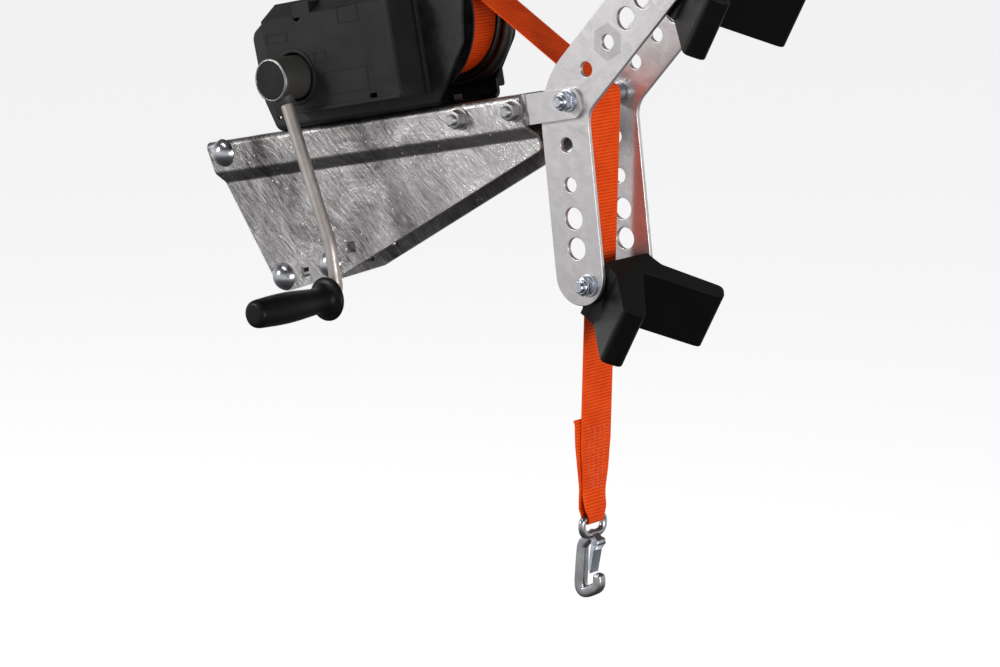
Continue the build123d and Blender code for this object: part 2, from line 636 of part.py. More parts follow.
def hook_latch():
    """The spring gate that closes the throat: a channel with its cheeks on the lug."""
    px, pz = latch_pivot()
    tip_x, tip_z = hook_tip()
    end = (tip_x - HOOK_R - LATCH_SHEET, tip_z + 1)
    length = hypot(end[0] - px, end[1] - pz)
    ux, uz = (end[0] - px) / length, (end[1] - pz) / length
    def along(s, t):
        """A point s down the latch and t across it, towards the shank."""
        return px + s * ux + t * uz, pz + s * uz - t * ux
    half = LATCH_SHEET / 2
    web = outline(along(9, -half), along(length, -half), along(length, half), along(9, half))
    cheek = outline(along(0, -LUG_R), along(9, -half), along(length - 3, -half), along(length - 3, half + 2),
                    along(0, LUG_R)) + Pos(px, pz) * Circle(LUG_R)
    inner = LATCH_HALF - LATCH_SHEET
    body = slab(web, -LATCH_HALF, LATCH_HALF)
    body += slab(cheek, inner, LATCH_HALF) + slab(cheek, -LATCH_HALF, -inner)
    return body + rod((px, pz), -LATCH_HALF, LATCH_HALF, LATCH_PIN_R)


def parts():
    made = {}
    made["side_plate_far"] = raised(side_plate())
    made["side_plate_near"] = mirrored(made["side_plate_far"])
    made["link_plate_far"] = raised(link_plate())
    made["link_plate_near"] = mirrored(made["link_plate_far"])
    for name, point in CLAMP_BOLTS.items():
        face = STRIP_Y + STEEL if name == "top" else GRIP_Y + STEEL
        made[f"clamp_bolt_{name}"] = raised(carriage_bolt(point, face, face))
        made[f"clamp_nut_{name}"] = raised(nut(point, face, 1))
    strip = STRIP_Y + STEEL
    for name, point in (("strip", STRIP_BOLT), ("link", LINK_BOLT)):
        made[f"{name}_bolt"] = raised(hex_bolt(point, strip))
        made[f"{name}_nut"] = raised(nut(point, -strip, -1))
    made["link_spacer"] = raised(tube(LINK_BOLT, -STRIP_Y + STEEL, STRIP_Y - STEEL, 10, SHANK + 0.25))
    made["winch_frame"] = raised(winch_frame())
    for i, (x, y) in enumerate(BASE_BOLTS, 1):
        made[f"base_bolt_{i}"] = raised(base_bolt(x, y))
    made["gear_cover"] = raised(gear_cover())
    made["far_cover"] = raised(far_cover())
    made["drum_axle"] = raised(drum_axle())
    made["drum_axle_nut"] = raised(drum_axle_nut())
    made["layshaft_bush"] = raised(tube(LAY, -46, -FRAME_Y + 0.8, 9, LAY_R + RUN))
    made["crank_bush"] = raised(tube(CRANK, -CHEEK - 1.5, -FRAME_Y + 2, 12, AXLE_R + RUN))
    made["pawl_pin"] = raised(rod(pawl_pivot(), -COVER_Y + COVER_WALL, -59.5, PAWL_PIN_R))
    made["strap_lead"] = strap_lead()
    elbow = level(ELBOW)
    outer = ARM_Y + ARM_T + GAP + STEEL
    made["elbow_bolt"] = hex_bolt(elbow, outer)
    made["elbow_nut"] = lock_nut(elbow, -outer)
    made["roller_sleeve"] = tube(elbow, -ARM_Y + GAP, ARM_Y - GAP, SLEEVE_R, SHANK)
    made["drum_hub"] = raised(drum_hub())
    made["drum_core"] = raised(drum_core())
    made["drum_flange_near"] = raised(near_flange())
    made["drum_flange_far"] = raised(far_flange())
    made["drum_gear"] = raised(drum_gear())
    made["webbing_roll"] = raised(webbing_roll())
    made["layshaft"] = raised(layshaft())
    made["intermediate_gear"] = raised(intermediate_gear())
    made["crank_shaft"] = raised(crank_shaft())
    made["crank_hub"] = crank_hub()
    made["hub_cap"] = raised(hub_cap())
    made["crank_arm"] = crank_arm()
    made["brake_disc_inner"] = raised(brake_disc(RATCHET_TO))
    made["brake_disc_outer"] = raised(brake_disc(RATCHET_FROM - DISC_T))
    made["ratchet_wheel"] = raised(ratchet_wheel())
    made["pawl"] = raised(pawl())
    made["grip"] = grip()
    made["guide_roller"] = tube(elbow, -ARM_Y + 2, ARM_Y - 2, ROLLER_R - GAP, SLEEVE_R + RUN)
    made["arm_far"] = arm()
    made["arm_near"] = mirrored(made["arm_far"])
    for name, side in (("lower", -1), ("upper", 1)):
        point = leg_point(side, PAD_ALONG, PAD_ASIDE)
        made[f"{name}_pad"] = pad(side)
        made[f"{name}_pad_bolt"] = hex_bolt(point, ARM_Y + ARM_T)
        made[f"{name}_pad_nut"] = lock_nut(point, -ARM_Y - ARM_T)
    made["hook"] = hook()
    made["hook_latch"] = hook_latch()
    return made


os.makedirs("parts", exist_ok=True)
for node, solid in parts().items():
    export_step(solid, f"parts/{node}.step")
print("free webbing", round(hypot(STRAP_ROUTE[1][0] - STRAP_ROUTE[0][0], STRAP_ROUTE[1][1] - STRAP_ROUTE[0][1])
                            + strap_tail()[0]), "with a radius of", ROLLER_WRAP, "round the roller")
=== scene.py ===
"""Looks of the boat trailer winch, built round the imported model.

Lengths are in millimetres until a mesh is made, where MM turns them into the frame's metres. The bracket
and the winch rise towards the boat by TILT, so their detail is drawn level, as (x, y, z), and then raised.
"""

import json
import math
from math import cos, pi, radians, sin, tan

import bmesh
import bpy
from mathutils import Matrix, Vector

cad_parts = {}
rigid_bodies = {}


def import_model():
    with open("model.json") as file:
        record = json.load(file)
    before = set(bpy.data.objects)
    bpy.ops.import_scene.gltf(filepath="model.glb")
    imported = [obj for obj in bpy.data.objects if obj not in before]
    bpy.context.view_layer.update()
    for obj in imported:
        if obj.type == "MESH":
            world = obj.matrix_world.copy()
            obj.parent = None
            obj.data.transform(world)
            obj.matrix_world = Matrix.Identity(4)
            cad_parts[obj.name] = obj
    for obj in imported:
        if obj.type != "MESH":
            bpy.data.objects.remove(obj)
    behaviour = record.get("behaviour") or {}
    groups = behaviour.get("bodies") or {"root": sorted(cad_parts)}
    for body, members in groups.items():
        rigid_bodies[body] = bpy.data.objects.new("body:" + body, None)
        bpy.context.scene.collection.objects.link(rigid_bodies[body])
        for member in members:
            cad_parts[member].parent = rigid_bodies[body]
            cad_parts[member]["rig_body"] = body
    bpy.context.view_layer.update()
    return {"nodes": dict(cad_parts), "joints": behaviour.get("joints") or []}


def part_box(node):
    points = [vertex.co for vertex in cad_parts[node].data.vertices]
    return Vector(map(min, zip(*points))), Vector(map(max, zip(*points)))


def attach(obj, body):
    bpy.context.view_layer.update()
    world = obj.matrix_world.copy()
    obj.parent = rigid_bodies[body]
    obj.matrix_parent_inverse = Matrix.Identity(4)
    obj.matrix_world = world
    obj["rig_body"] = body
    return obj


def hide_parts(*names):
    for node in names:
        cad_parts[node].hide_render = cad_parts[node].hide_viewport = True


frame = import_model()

MM = 0.001
TILT = 12.0  # the bracket's rise towards the boat
LEVEL = Matrix.Identity(4)
RAISED = Matrix.Rotation(-radians(TILT), 4, "Y")

# Camera and light
VIEW_AZIMUTH, VIEW_ELEVATION = 41.0, 12.0
VIEW_TARGET, VIEW_DISTANCE = Vector((0.1801, 0.1147, -0.1103)), 4.0114
LENS = 127.08
FLOOR_Z = -0.95  # about the ground under a winch post
# Brightness of the surroundings, from straight down (-1) to straight up (1)
WORLD_BANDS = [(-1.0, 0.06), (-0.5, 0.16), (-0.25, 0.68), (0.0, 1.0), (0.25, 0.66), (0.5, 0.14), (1.0, 0.06)]
# Name, place in metres, size and power of each lamp; the key stands left of the camera and above it
LAMPS = [
    ("key", (-1.6, -2.3, 1.05), (0.6, 0.6), 46.0),
    ("boat_side", (3.4, -0.9, 0.1), (1.4, 1.0), 56.0),
    ("top", (-0.3, -1.2, 2.4), (1.8, 0.35), 16.0),
]

nodes = frame["nodes"]
joint_at = {joint["name"]: [value / MM for value in joint["pos_m"]] for joint in frame["joints"]}


def level(point):
    """A row-frame (X, Z), in millimetres, as the bracket's own level (x, z)."""
    a = radians(TILT)
    x, z = point
    return x * cos(a) + z * sin(a), z * cos(a) - x * sin(a)


def at_joint(name):
    x, y, z = joint_at[name]
    return x, z


def level_box(node):
    """A node's lowest and highest corners in the bracket's level frame, in millimetres."""
    turned = [RAISED.inverted() @ vertex.co / MM for vertex in nodes[node].data.vertices]
    low = Vector([min(point[i] for point in turned) for i in range(3)])
    high = Vector([max(point[i] for point in turned) for i in range(3)])
    return low, high


def row_box(node):
    low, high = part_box(node)
    return low / MM, high / MM


HOLE_WITH_WITNESS = (463.67, 261.49)
DOME_H = 11.5  # how high a carriage bolt's head stands
WASHER_T = 2.5
ACROSS, HEAD_H = 18.0, 7.5  # an M12 hexagon across its flats, and a bolt head's height
SHANK_R = 5.9
THREADED = 20  # the length of thread that is drawn on a bolt's end
CRANK, DRUM = level(at_joint("crank_spin")), level(at_joint("drum_spin"))
ELBOW, EYE = at_joint("bow_stop_tilt"), at_joint("hook_swing")


# ---- materials -----------------------------------------------------------------------------------
class Shader:
    """A material's node tree, with short calls for the nodes that these finishes share."""

    def __init__(self, name, colour, roughness, metallic=0.0, specular=0.5):
        self.material = bpy.data.materials.new(name)
        self.material.use_nodes = True
        self.tree = self.material.node_tree
        self.bsdf = self.tree.nodes["Principled BSDF"]
        self.set("Base Color", (*colour, 1.0))
        self.set("Roughness", roughness)
        self.set("Metallic", metallic)
        self.set("Specular IOR Level", specular)
        self.place = self.tree.nodes.new("ShaderNodeTexCoord").outputs["Object"]

    def set(self, socket, value):
        self.bsdf.inputs[socket].default_value = value

    def link(self, output, node, socket):
        self.tree.links.new(output, node.inputs[socket])

    def stretched(self, scale, turn=(0, 0, 0)):
        """Object coordinates turned by degrees and scaled."""
        node = self.tree.nodes.new("ShaderNodeMapping")
        node.vector_type = "TEXTURE"
        node.inputs["Rotation"].default_value = [radians(a) for a in turn]
        node.inputs["Scale"].default_value = [1 / value for value in scale]
        self.link(self.place, node, "Vector")
        return node.outputs["Vector"]

    def noise(self, scale, detail=4.0, roughness=0.5, distortion=0.0, place=None):
        node = self.tree.nodes.new("ShaderNodeTexNoise")
        node.inputs["Scale"].default_value = scale
        node.inputs["Detail"].default_value = detail
        node.inputs["Roughness"].default_value = roughness
        node.inputs["Distortion"].default_value = distortion
        self.link(place or self.place, node, "Vector")
        return node.outputs["Fac"]

    def cells(self, scale, output="Distance"):
        node = self.tree.nodes.new("ShaderNodeTexVoronoi")
        node.inputs["Scale"].default_value = scale
        self.link(self.place, node, "Vector")
        return node.outputs[output]

    def ramp(self, value, *stops):
        """A colour ramp from (position, colour or grey) stops."""
        node = self.tree.nodes.new("ShaderNodeValToRGB")
        ramp = node.color_ramp
        while len(ramp.elements) < len(stops):
            ramp.elements.new(0.5)
        for element, (position, colour) in zip(ramp.elements, stops):
            element.position = position
            element.color = (*colour, 1) if isinstance(colour, tuple) else (colour, colour, colour, 1)
        self.link(value, node, "Fac")
        return node.outputs["Color"]

    def mix(self, factor, first, second, blend="MIX"):
        """Two colours mixed; the factor may be a number."""
        node = self.tree.nodes.new("ShaderNodeMix")
        node.data_type, node.blend_type = "RGBA", blend
        for socket, value in zip(("Factor", "A", "B"), (factor, first, second)):
            inputs = [s for s in node.inputs if s.name == socket and s.enabled]
            target = inputs[0] if socket == "Factor" else inputs[-1]
            if isinstance(value, bpy.types.NodeSocket):
                self.tree.links.new(value, target)
            else:
                target.default_value = (*value, 1) if isinstance(value, tuple) else value
        return [s for s in node.outputs if s.enabled][0]

    def math(self, operation, *values):
        node = self.tree.nodes.new("ShaderNodeMath")
        node.operation = operation
        for socket, value in zip(node.inputs, values):
            if isinstance(value, bpy.types.NodeSocket):
                self.tree.links.new(value, socket)
            else:
                socket.default_value = value
        return node.outputs["Value"]

    def axis(self, name):
        node = self.tree.nodes.new("ShaderNodeSeparateXYZ")
        self.link(self.place, node, "Vector")
        return node.outputs[name]

    def bump(self, height, strength, depth, before=None):
        """Relief that is depth metres high; before is an earlier bump's normal."""
        node = self.tree.nodes.new("ShaderNodeBump")
        node.inputs["Strength"].default_value = strength
        node.inputs["Distance"].default_value = depth
        self.link(height, node, "Height")
        if before:
            self.link(before, node, "Normal")
        self.link(node.outputs["Normal"], self.bsdf, "Normal")
        return node.outputs["Normal"]


def galvanised(name, dark, light, streak_turn, contrast=1.0, lift=0.0, metallic=1.0, flecked=0.12):
    """Hot-dip zinc: streaks where the bath ran off, clouds, fine spangle and bright flecks that are painted glints.
    """
    s = Shader(name, light, 0.35, metallic)
    streaks = s.noise(1.0, 9, 0.68, 1.9, s.stretched((190, 60, 30), streak_turn))
    clouds = s.noise(11.0, 8, 0.68, 1.6)
    drifts = s.noise(4.5, 3, 0.5, 0.9)
    mixed = s.math("ADD", s.math("MULTIPLY", streaks, 0.34), s.math("MULTIPLY", clouds, 0.34))
    mixed = s.math("ADD", mixed, s.math("MULTIPLY", drifts, 0.32))
    # lift makes the tone lighter towards +X
    if lift:
        mixed = s.math("ADD", mixed, s.math("MULTIPLY", s.axis("X"), lift))
    tone = s.ramp(mixed, (0.5 - 0.11 / contrast, dark), (0.5 + 0.11 / contrast, light))
    spangle = s.ramp(s.cells(110, "Color"), (0.0, 0.85), (1.0, 1.0))
    tone = s.mix(1.0, tone, spangle, "MULTIPLY")
    # Bright flecks: near-white, less metallic spots in the base colour, painted glints of the spangle
    flecks = s.math("LESS_THAN", s.cells(125), flecked)
    chosen = s.math("GREATER_THAN", s.noise(30, 2), 0.55)
    fleck = s.math("MULTIPLY", flecks, chosen)
    s.link(s.mix(fleck, tone, (0.95, 0.95, 0.97)), s.bsdf, "Base Color")
    s.link(s.math("SUBTRACT", metallic, s.math("MULTIPLY", fleck, 0.8)), s.bsdf, "Metallic")
    s.link(s.ramp(mixed, (0.36, 0.46), (0.62, 0.26)), s.bsdf, "Roughness")
    first = s.bump(streaks, 0.5 * contrast * contrast, 0.0014)
    second = s.bump(clouds, 0.5 * contrast, 0.003, first)
    s.bump(s.noise(420, 3), 0.12, 0.0004, second)
    return s.material


def zinc_plated():
    """Bright zinc with a blue passivated cast."""
    s = Shader("zinc_plate", (0.6, 0.64, 0.7), 0.24, 1.0)
    s.link(s.ramp(s.noise(90, 4), (0.35, (0.42, 0.45, 0.51)), (0.65, (0.66, 0.7, 0.77))), s.bsdf, "Base Color")
    s.link(s.ramp(s.noise(260, 3), (0.3, 0.18), (0.7, 0.34)), s.bsdf, "Roughness")
    s.bump(s.noise(900, 2), 0.08, 0.0002)
    return s.material


def satin_rod():
    """The crank's grey-beige plated rod, drawn along its length."""
    s = Shader("crank_rod", (0.36, 0.33, 0.31), 0.42, 0.75)
    tone = s.ramp(s.noise(60, 5, 0.6), (0.3, (0.33, 0.3, 0.285)), (0.7, (0.42, 0.385, 0.365)))
    s.link(tone, s.bsdf, "Base Color")
    s.link(s.ramp(s.noise(150, 3), (0.3, 0.36), (0.7, 0.5)), s.bsdf, "Roughness")
    s.bump(s.noise(1500, 2), 0.1, 0.0002)
    return s.material


def moulded(name, grey, roughness, specular, grain=1800):
    """Moulded black plastic or rubber with a fine grain and faint handling marks."""
    s = Shader(name, grey, roughness, 0.0, specular)
    marks = s.noise(28, 6, 0.65)
    brighter = tuple(value * 1.5 + 0.002 for value in grey)
    s.link(s.ramp(marks, (0.35, grey), (0.75, brighter)), s.bsdf, "Base Color")
    s.link(s.ramp(marks, (0.3, roughness + 0.06), (0.7, roughness - 0.08)), s.bsdf, "Roughness")
    s.bump(s.noise(grain, 2), 0.16, 0.00025)
    return s.material


def painted(name, grey, roughness):
    """Black paint on steel, slightly orange-peeled, with patches of dust."""
    s = Shader(name, grey, roughness, 0.0, 0.3)
    dust = s.noise(45, 6, 0.7)
    dusty = tuple(value + 0.018 for value in grey)
    s.link(s.ramp(dust, (0.45, grey), (0.8, dusty)), s.bsdf, "Base Color")
    s.link(s.ramp(dust, (0.4, roughness), (0.7, roughness + 0.16)), s.bsdf, "Roughness")
    s.bump(s.noise(520, 2), 0.12, 0.0003)
    return s.material


def steel(name, colour, roughness):
    """Machined or phosphated steel with faint smears."""
    s = Shader(name, colour, roughness, 1.0)
    smears = s.noise(70, 5, 0.6, 0.6)
    darker = tuple(value * 0.7 for value in colour)
    s.link(s.ramp(smears, (0.35, darker), (0.65, colour)), s.bsdf, "Base Color")
    s.link(s.ramp(smears, (0.3, roughness + 0.1), (0.7, roughness - 0.06)), s.bsdf, "Roughness")
    s.bump(s.noise(1100, 2), 0.08, 0.0002)
    return s.material


def webbing():
    """Orange polyester: soft sheen, a fine lengthwise thread, slight fading and painted shade in the rib grooves."""
    s = Shader("webbing", (0.8, 0.07, 0.004), 0.6, 0.0, 0.12)
    fade = s.noise(40, 5, 0.6)
    tone = s.ramp(fade, (0.3, (0.78, 0.06, 0.002)), (0.7, (0.93, 0.095, 0.006)))
    threads = s.noise(1.0, 3, 0.6, 0.0, s.stretched((500, 2600, 500)))
    tone = s.mix(0.5, tone, s.ramp(threads, (0.3, 0.72), (0.7, 1.0)), "MULTIPLY")
    # Darker, browner orange by groove depth: painted shade in the rib grooves
    groove = s.tree.nodes.new("ShaderNodeAttribute")
    groove.attribute_name = "groove"
    tone = s.mix(1.0, tone, s.ramp(groove.outputs["Fac"], (0.25, 1.0), (1.0, (0.62, 0.46, 0.35))), "MULTIPLY")
    s.link(tone, s.bsdf, "Base Color")
    s.bump(threads, 0.3, 0.0003)
    return s.material


FINISH = {
    "galvanised": galvanised("galvanised_plate", (0.07, 0.065, 0.063), (0.56, 0.535, 0.535), (0, -50, 0), 1.15, 0.12),
    "arm_zinc": galvanised("galvanised_arm", (0.47, 0.45, 0.455), (0.68, 0.655, 0.66), (0, -50, 0), 0.4, 0.0, 0.75, 0.03),
    # a lighter beige finish for the side plates' bevelled bends: a painted highlight along the bends
    "bend_highlight_zinc": steel("bend_highlight_zinc", (0.78, 0.72, 0.68), 0.5),
    "zinc_plate": zinc_plated(),
    "bright_zinc": steel("bright_zinc", (0.75, 0.82, 0.9), 0.3),
    "polished_zinc": steel("polished_zinc", (0.5, 0.51, 0.54), 0.2),
    "crank_rod": satin_rod(),
    "witness": galvanised("nut_witness", (0.38, 0.37, 0.37), (0.5, 0.48, 0.48), (0, 0, 0), 0.5, 0.0, 0.75, 0.0),
    "black_plastic": moulded("black_plastic", (0.0105, 0.0105, 0.01), 0.5, 0.16),
    "hub_grey": moulded("hub_grey", (0.03, 0.029, 0.027), 0.5, 0.4),
    "grip": moulded("grip_rubber", (0.0032, 0.0032, 0.003), 0.4, 0.13),
    "pad_rubber": moulded("pad_rubber", (0.0022, 0.0022, 0.002), 0.36, 0.14),
    "black_steel": painted("black_steel", (0.005, 0.005, 0.005), 0.42),
    # a lighter brown finish for the winch frame's bevelled edges: a painted highlight along its bends
    "edge_highlight_black": steel("edge_highlight_black", (0.17, 0.13, 0.105), 0.4),
    "dull_zinc": steel("dull_zinc", (0.4, 0.395, 0.4), 0.45),
    "dark_metal": steel("dark_metal", (0.1, 0.097, 0.093), 0.42),
    # a lighter metal for the crank hub's rounded rim: a painted highlight ring
    "bright_rim": steel("bright_rim", (0.3, 0.29, 0.28), 0.42),
    "bronze": steel("bronze", (0.45, 0.28, 0.13), 0.35),
    "hook_steel": steel("hook_steel", (0.42, 0.42, 0.43), 0.28),
    "brake_lining": moulded("brake_lining", (0.06, 0.035, 0.025), 0.8, 0.2, 700),
    "webbing": webbing(),
}


# ---- mesh helpers --------------------------------------------------------------------------------
def piece(name, vertices, faces, body, slot, finish=None, place=LEVEL, replaces=()):
    """An object of the final shape, in millimetres, that rides on a body."""
    mesh = bpy.data.meshes.new(name)
    mesh.from_pydata([place @ (Vector(v) * MM) for v in vertices], [], faces)
    mesh.validate()
    return dress(mesh, name, body, slot, finish, replaces)


def woven(name, vertices, faces, grooves, body, place=LEVEL, replaces=()):
    """A webbing piece; grooves says how deep in a groove each vertex lies, from 0 to 1, and sets the painted shade in
    the grooves.
    """
    obj = piece(name, vertices, faces, body, "webbing", place=place, replaces=replaces)
    attribute = obj.data.attributes.new("groove", "FLOAT", "POINT")
    attribute.data.foreach_set("value", grooves)
    return obj


CREASE = radians(33.0)


def dress(mesh, name, body, slot, finish=None, replaces=()):
    bm = bmesh.new()
    bm.from_mesh(mesh)
    bmesh.ops.recalc_face_normals(bm, faces=bm.faces)
    for face in bm.faces:
        face.smooth = True
    for edge in bm.edges:
        edge.smooth = not edge.is_manifold or edge.calc_face_angle() < CREASE
    bm.to_mesh(mesh)
    bm.free()
    obj = bpy.data.objects.new(name, mesh)
    bpy.context.scene.collection.objects.link(obj)
    mesh.materials.clear()
    mesh.materials.append(FINISH[finish or slot])
    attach(obj, body)
    if replaces:
        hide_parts(*replaces)
    return obj


def rounded_edges(obj, width, segments=2, angle=32.0):
    """Rounds the sharp edges by width, in millimetres, and keeps flat faces flat."""
    bevel = obj.modifiers.new("edges", "BEVEL")
    bevel.width = width * MM
    bevel.segments = segments
    bevel.limit_method = "ANGLE"
    bevel.angle_limit = radians(angle)
    bevel.harden_normals = True
    bevel.use_clamp_overlap = True
    return obj


def softened(node, width, slot, finish=None, segments=2, edge_finish=None):
    """A CAD node's own shape with its edges broken, as sheet metal and mouldings have them."""
    mesh = nodes[node].data.copy()
    bm = bmesh.new()
    bm.from_mesh(mesh)
    bmesh.ops.remove_doubles(bm, verts=bm.verts, dist=1e-6)
    bmesh.ops.dissolve_limit(bm, angle_limit=radians(0.6), verts=bm.verts, edges=bm.edges)
    bm.to_mesh(mesh)
    bm.free()
    obj = dress(mesh, f"{node}_shape", nodes[node]["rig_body"], slot, finish, [node])
    rounded_edges(obj, width, segments)
    if edge_finish:
        mesh.materials.append(FINISH[edge_finish])
        obj.modifiers["edges"].material = 1
    return obj


def flat_plate(node, edge, slot, finish):
    """A CAD plate that lies across Y, traced again so that its rim and its holes are round-edged."""
    low, high = row_box(node)
    bm = bmesh.new()
    bm.from_mesh(nodes[node].data)
    bmesh.ops.remove_doubles(bm, verts=bm.verts, dist=1e-6)
    side = {face for face in bm.faces if all(abs(v.co.y / MM - low.y) < 0.001 for v in face.verts)}
    ahead = {}
    for edge_line in bm.edges:
        if sum(face in side for face in edge_line.link_faces) == 1:
            for vertex in edge_line.verts:
                ahead.setdefault(vertex, []).append(edge_line.other_vert(vertex))
    curve = bpy.data.curves.new(node, "CURVE")
    curve.dimensions, curve.fill_mode = "2D", "BOTH"
    curve.extrude = (high.y - low.y) / 2 * MM - edge * MM
    curve.bevel_depth, curve.bevel_resolution = edge * MM, 2
    curve.offset = -edge * MM
    while ahead:
        here = next(iter(ahead))
        loop = []
        while here is not None:
            loop.append(here)
            following = ahead.pop(here)
            here = next((vertex for vertex in following if vertex in ahead), None)
        spline = curve.splines.new("POLY")
        spline.points.add(len(loop) - 1)
        for point, vertex in zip(spline.points, loop):
            point.co = (vertex.co.x, vertex.co.z, 0, 1)
        spline.use_cyclic_u = True
    bm.free()
    holder = bpy.data.objects.new(node, curve)
    bpy.context.scene.collection.objects.link(holder)
    bpy.context.view_layer.update()
    mesh = bpy.data.meshes.new_from_object(holder.evaluated_get(bpy.context.evaluated_depsgraph_get()))
    bpy.data.objects.remove(holder)
    middle_y = (low.y + high.y) / 2 * MM
    for vertex in mesh.vertices:
        x, z, y = vertex.co
        vertex.co = (x, middle_y - y, z)
    bm = bmesh.new()
    bm.from_mesh(mesh)
    bmesh.ops.remove_doubles(bm, verts=bm.verts, dist=1e-6)
    bm.to_mesh(mesh)
    bm.free()
    obj = dress(mesh, f"{node}_shape", nodes[node]["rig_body"], slot, finish, [node])
    obj.modifiers.new("flat_faces", "WEIGHTED_NORMAL")
    return obj


def finish_node(node, finish):
    """A CAD node that stays, with a better material."""
    nodes[node].data.materials.clear()
    nodes[node].data.materials.append(FINISH[finish])


def closed_rings(rings, closed=True):
    """Faces between rings of vertices, and the vertices, with a cap on each open end."""
    count = len(rings[0])
    vertices = [v for ring in rings for v in ring]
    faces = []
    for i in range(len(rings) - 1 + closed):
        a, b = i * count, (i + 1) % len(rings) * count
        for j in range(count):
            k = (j + 1) % count
            faces.append((a + j, a + k, b + k, b + j))
    if not closed:
        faces.append(tuple(range(count)))
        faces.append(tuple(range((len(rings) - 1) * count, len(rings) * count)))
    return vertices, faces


def lathe(profile, centre, steps=96, wave=None):
    """A closed profile of (radius, y) turned about the Y axis through centre = (x, z)."""
    rings = []
    for i in range(steps):
        a = 2 * pi * i / steps
        ring = []
        for r, y in profile:
            r = r + (wave(a, r, y) if wave else 0.0)
            ring.append((centre[0] + r * cos(a), y, centre[1] + r * sin(a)))
        rings.append(ring)
    return closed_rings(rings)


def rounded_profile(points, radius, steps=4):
    """A closed profile whose corners are rounded by up to radius."""
    out = []
    count = len(points)
    for i in range(count):
        before, here, after = Vector(points[i - 1]), Vector(points[i]), Vector(points[(i + 1) % count])
        back, on = before - here, after - here
        if isinstance(radius, (list, tuple)):
            r = radius[i]
        else:
            r = radius
        if r <= 0 or back.length < 1e-9 or on.length < 1e-9:
            out.append(tuple(here))
            continue
        turn = back.angle(on)
        reach = min(r / tan(turn / 2), back.length * 0.49, on.length * 0.49)
        start, end = here + back.normalized() * reach, here + on.normalized() * reach
        for k in range(steps + 1):
            t = k / steps
            point = start * (1 - t) ** 2 + here * 2 * t * (1 - t) + end * t * t
            out.append(tuple(point))
    return out


def block(low, high):
    """A box's corners and faces."""
    (x0, y0, z0), (x1, y1, z1) = low, high
    vertices = [(x, y, z) for z in (z0, z1) for x, y in ((x0, y0), (x1, y0), (x1, y1), (x0, y1))]
    faces = [(0, 1, 2, 3), (4, 5, 6, 7), (0, 1, 5, 4), (1, 2, 6, 5), (2, 3, 7, 6), (3, 0, 4, 7)]
    return vertices, faces


def prism(outline, y0, y1):
    """A side-view outline of (x, z) made solid from y0 to y1."""
    return closed_rings([[(x, y0, z) for x, z in outline], [(x, y1, z) for x, z in outline]], closed=False)


def together(*shapes):
    vertices, faces = [], []
    for v, f in shapes:
        faces += [tuple(i + len(vertices) for i in face) for face in f]
        vertices += v
    return vertices, faces


def cut(obj, shape, place):
    """Takes a shape out of an object's mesh."""
    vertices, faces = shape
    mesh = bpy.data.meshes.new("cutter")
    mesh.from_pydata([place @ (Vector(v) * MM) for v in vertices], [], faces)
    bm = bmesh.new()
    bm.from_mesh(mesh)
    bmesh.ops.recalc_face_normals(bm, faces=bm.faces)
    bm.to_mesh(mesh)
    bm.free()
    tool = bpy.data.objects.new("cutter", mesh)
    bpy.context.scene.collection.objects.link(tool)
    modifier = obj.modifiers.new("cut", "BOOLEAN")
    modifier.operation, modifier.solver, modifier.object = "DIFFERENCE", "EXACT", tool
    bpy.context.view_layer.update()
    result = bpy.data.meshes.new_from_object(obj.evaluated_get(bpy.context.evaluated_depsgraph_get()))
    obj.modifiers.clear()
    obj.data = result
    bpy.data.objects.remove(tool)


def cylinder(centre, y0, y1, r, steps=48):
    ring = [(centre[0] + r * cos(2 * pi * i / steps), centre[1] + r * sin(2 * pi * i / steps))
            for i in range(steps)]
    return prism(ring, y0, y1)


def frames_along(points):
    """At each point of a path: the point, and two unit vectors across it that don't twist."""
    out = []
    normal = None
    for i, point in enumerate(points):
        before, after = points[max(i - 1, 0)], points[min(i + 1, len(points) - 1)]
        tangent = (after - before).normalized()
        if normal is None:
            normal = tangent.orthogonal().normalized()
            if abs(tangent.y) < 0.9:
                normal = (Vector((0, 1, 0)) - tangent * tangent.y).normalized()
        normal = (normal - tangent * normal.dot(tangent)).normalized()
        out.append((point, normal, tangent.cross(normal)))
    return out


def swept(points, section, closed=False):
    """A section(i, share) of (u, v) points carried along a path."""
    rings = []
    for i, (point, u, v) in enumerate(frames_along(points)):
        ring = [tuple(point + u * a + v * b) for a, b in section(i / (len(points) - 1))]
        rings.append(ring)
    return closed_rings(rings, closed)


def rounded_path(points, radii, steps=10):
    """A path through points with its inner corners rounded."""
    out = [Vector(points[0])]
    for i in range(1, len(points) - 1):
        before, here, after = Vector(points[i - 1]), Vector(points[i]), Vector(points[i + 1])
        back, on = (before - here).normalized(), (after - here).normalized()
        reach = radii[i - 1] / tan(back.angle(on) / 2)
        start, end = here + back * reach, here + on * reach
        for k in range(steps + 1):
            t = k / steps
            out.append(start * (1 - t) ** 2 + here * 2 * t * (1 - t) + end * t * t)
    out.append(Vector(points[-1]))
    return out


# ---- sheet metal ---------------------------------------------------------------------------------
def bracket():
    for side in ("near", "far"):
        # the bevelled bends take the lighter beige finish, a painted highlight
        softened(f"side_plate_{side}", 1.5, "galvanised", segments=3, edge_finish="bend_highlight_zinc")
        softened(f"link_plate_{side}", 0.8, "galvanised", "arm_zinc")
        flat_plate(f"arm_{side}", 0.8, "galvanised", "arm_zinc")
    softened("link_spacer", 0.5, "zinc_plate")
    softened("roller_sleeve", 0.5, "zinc_plate")


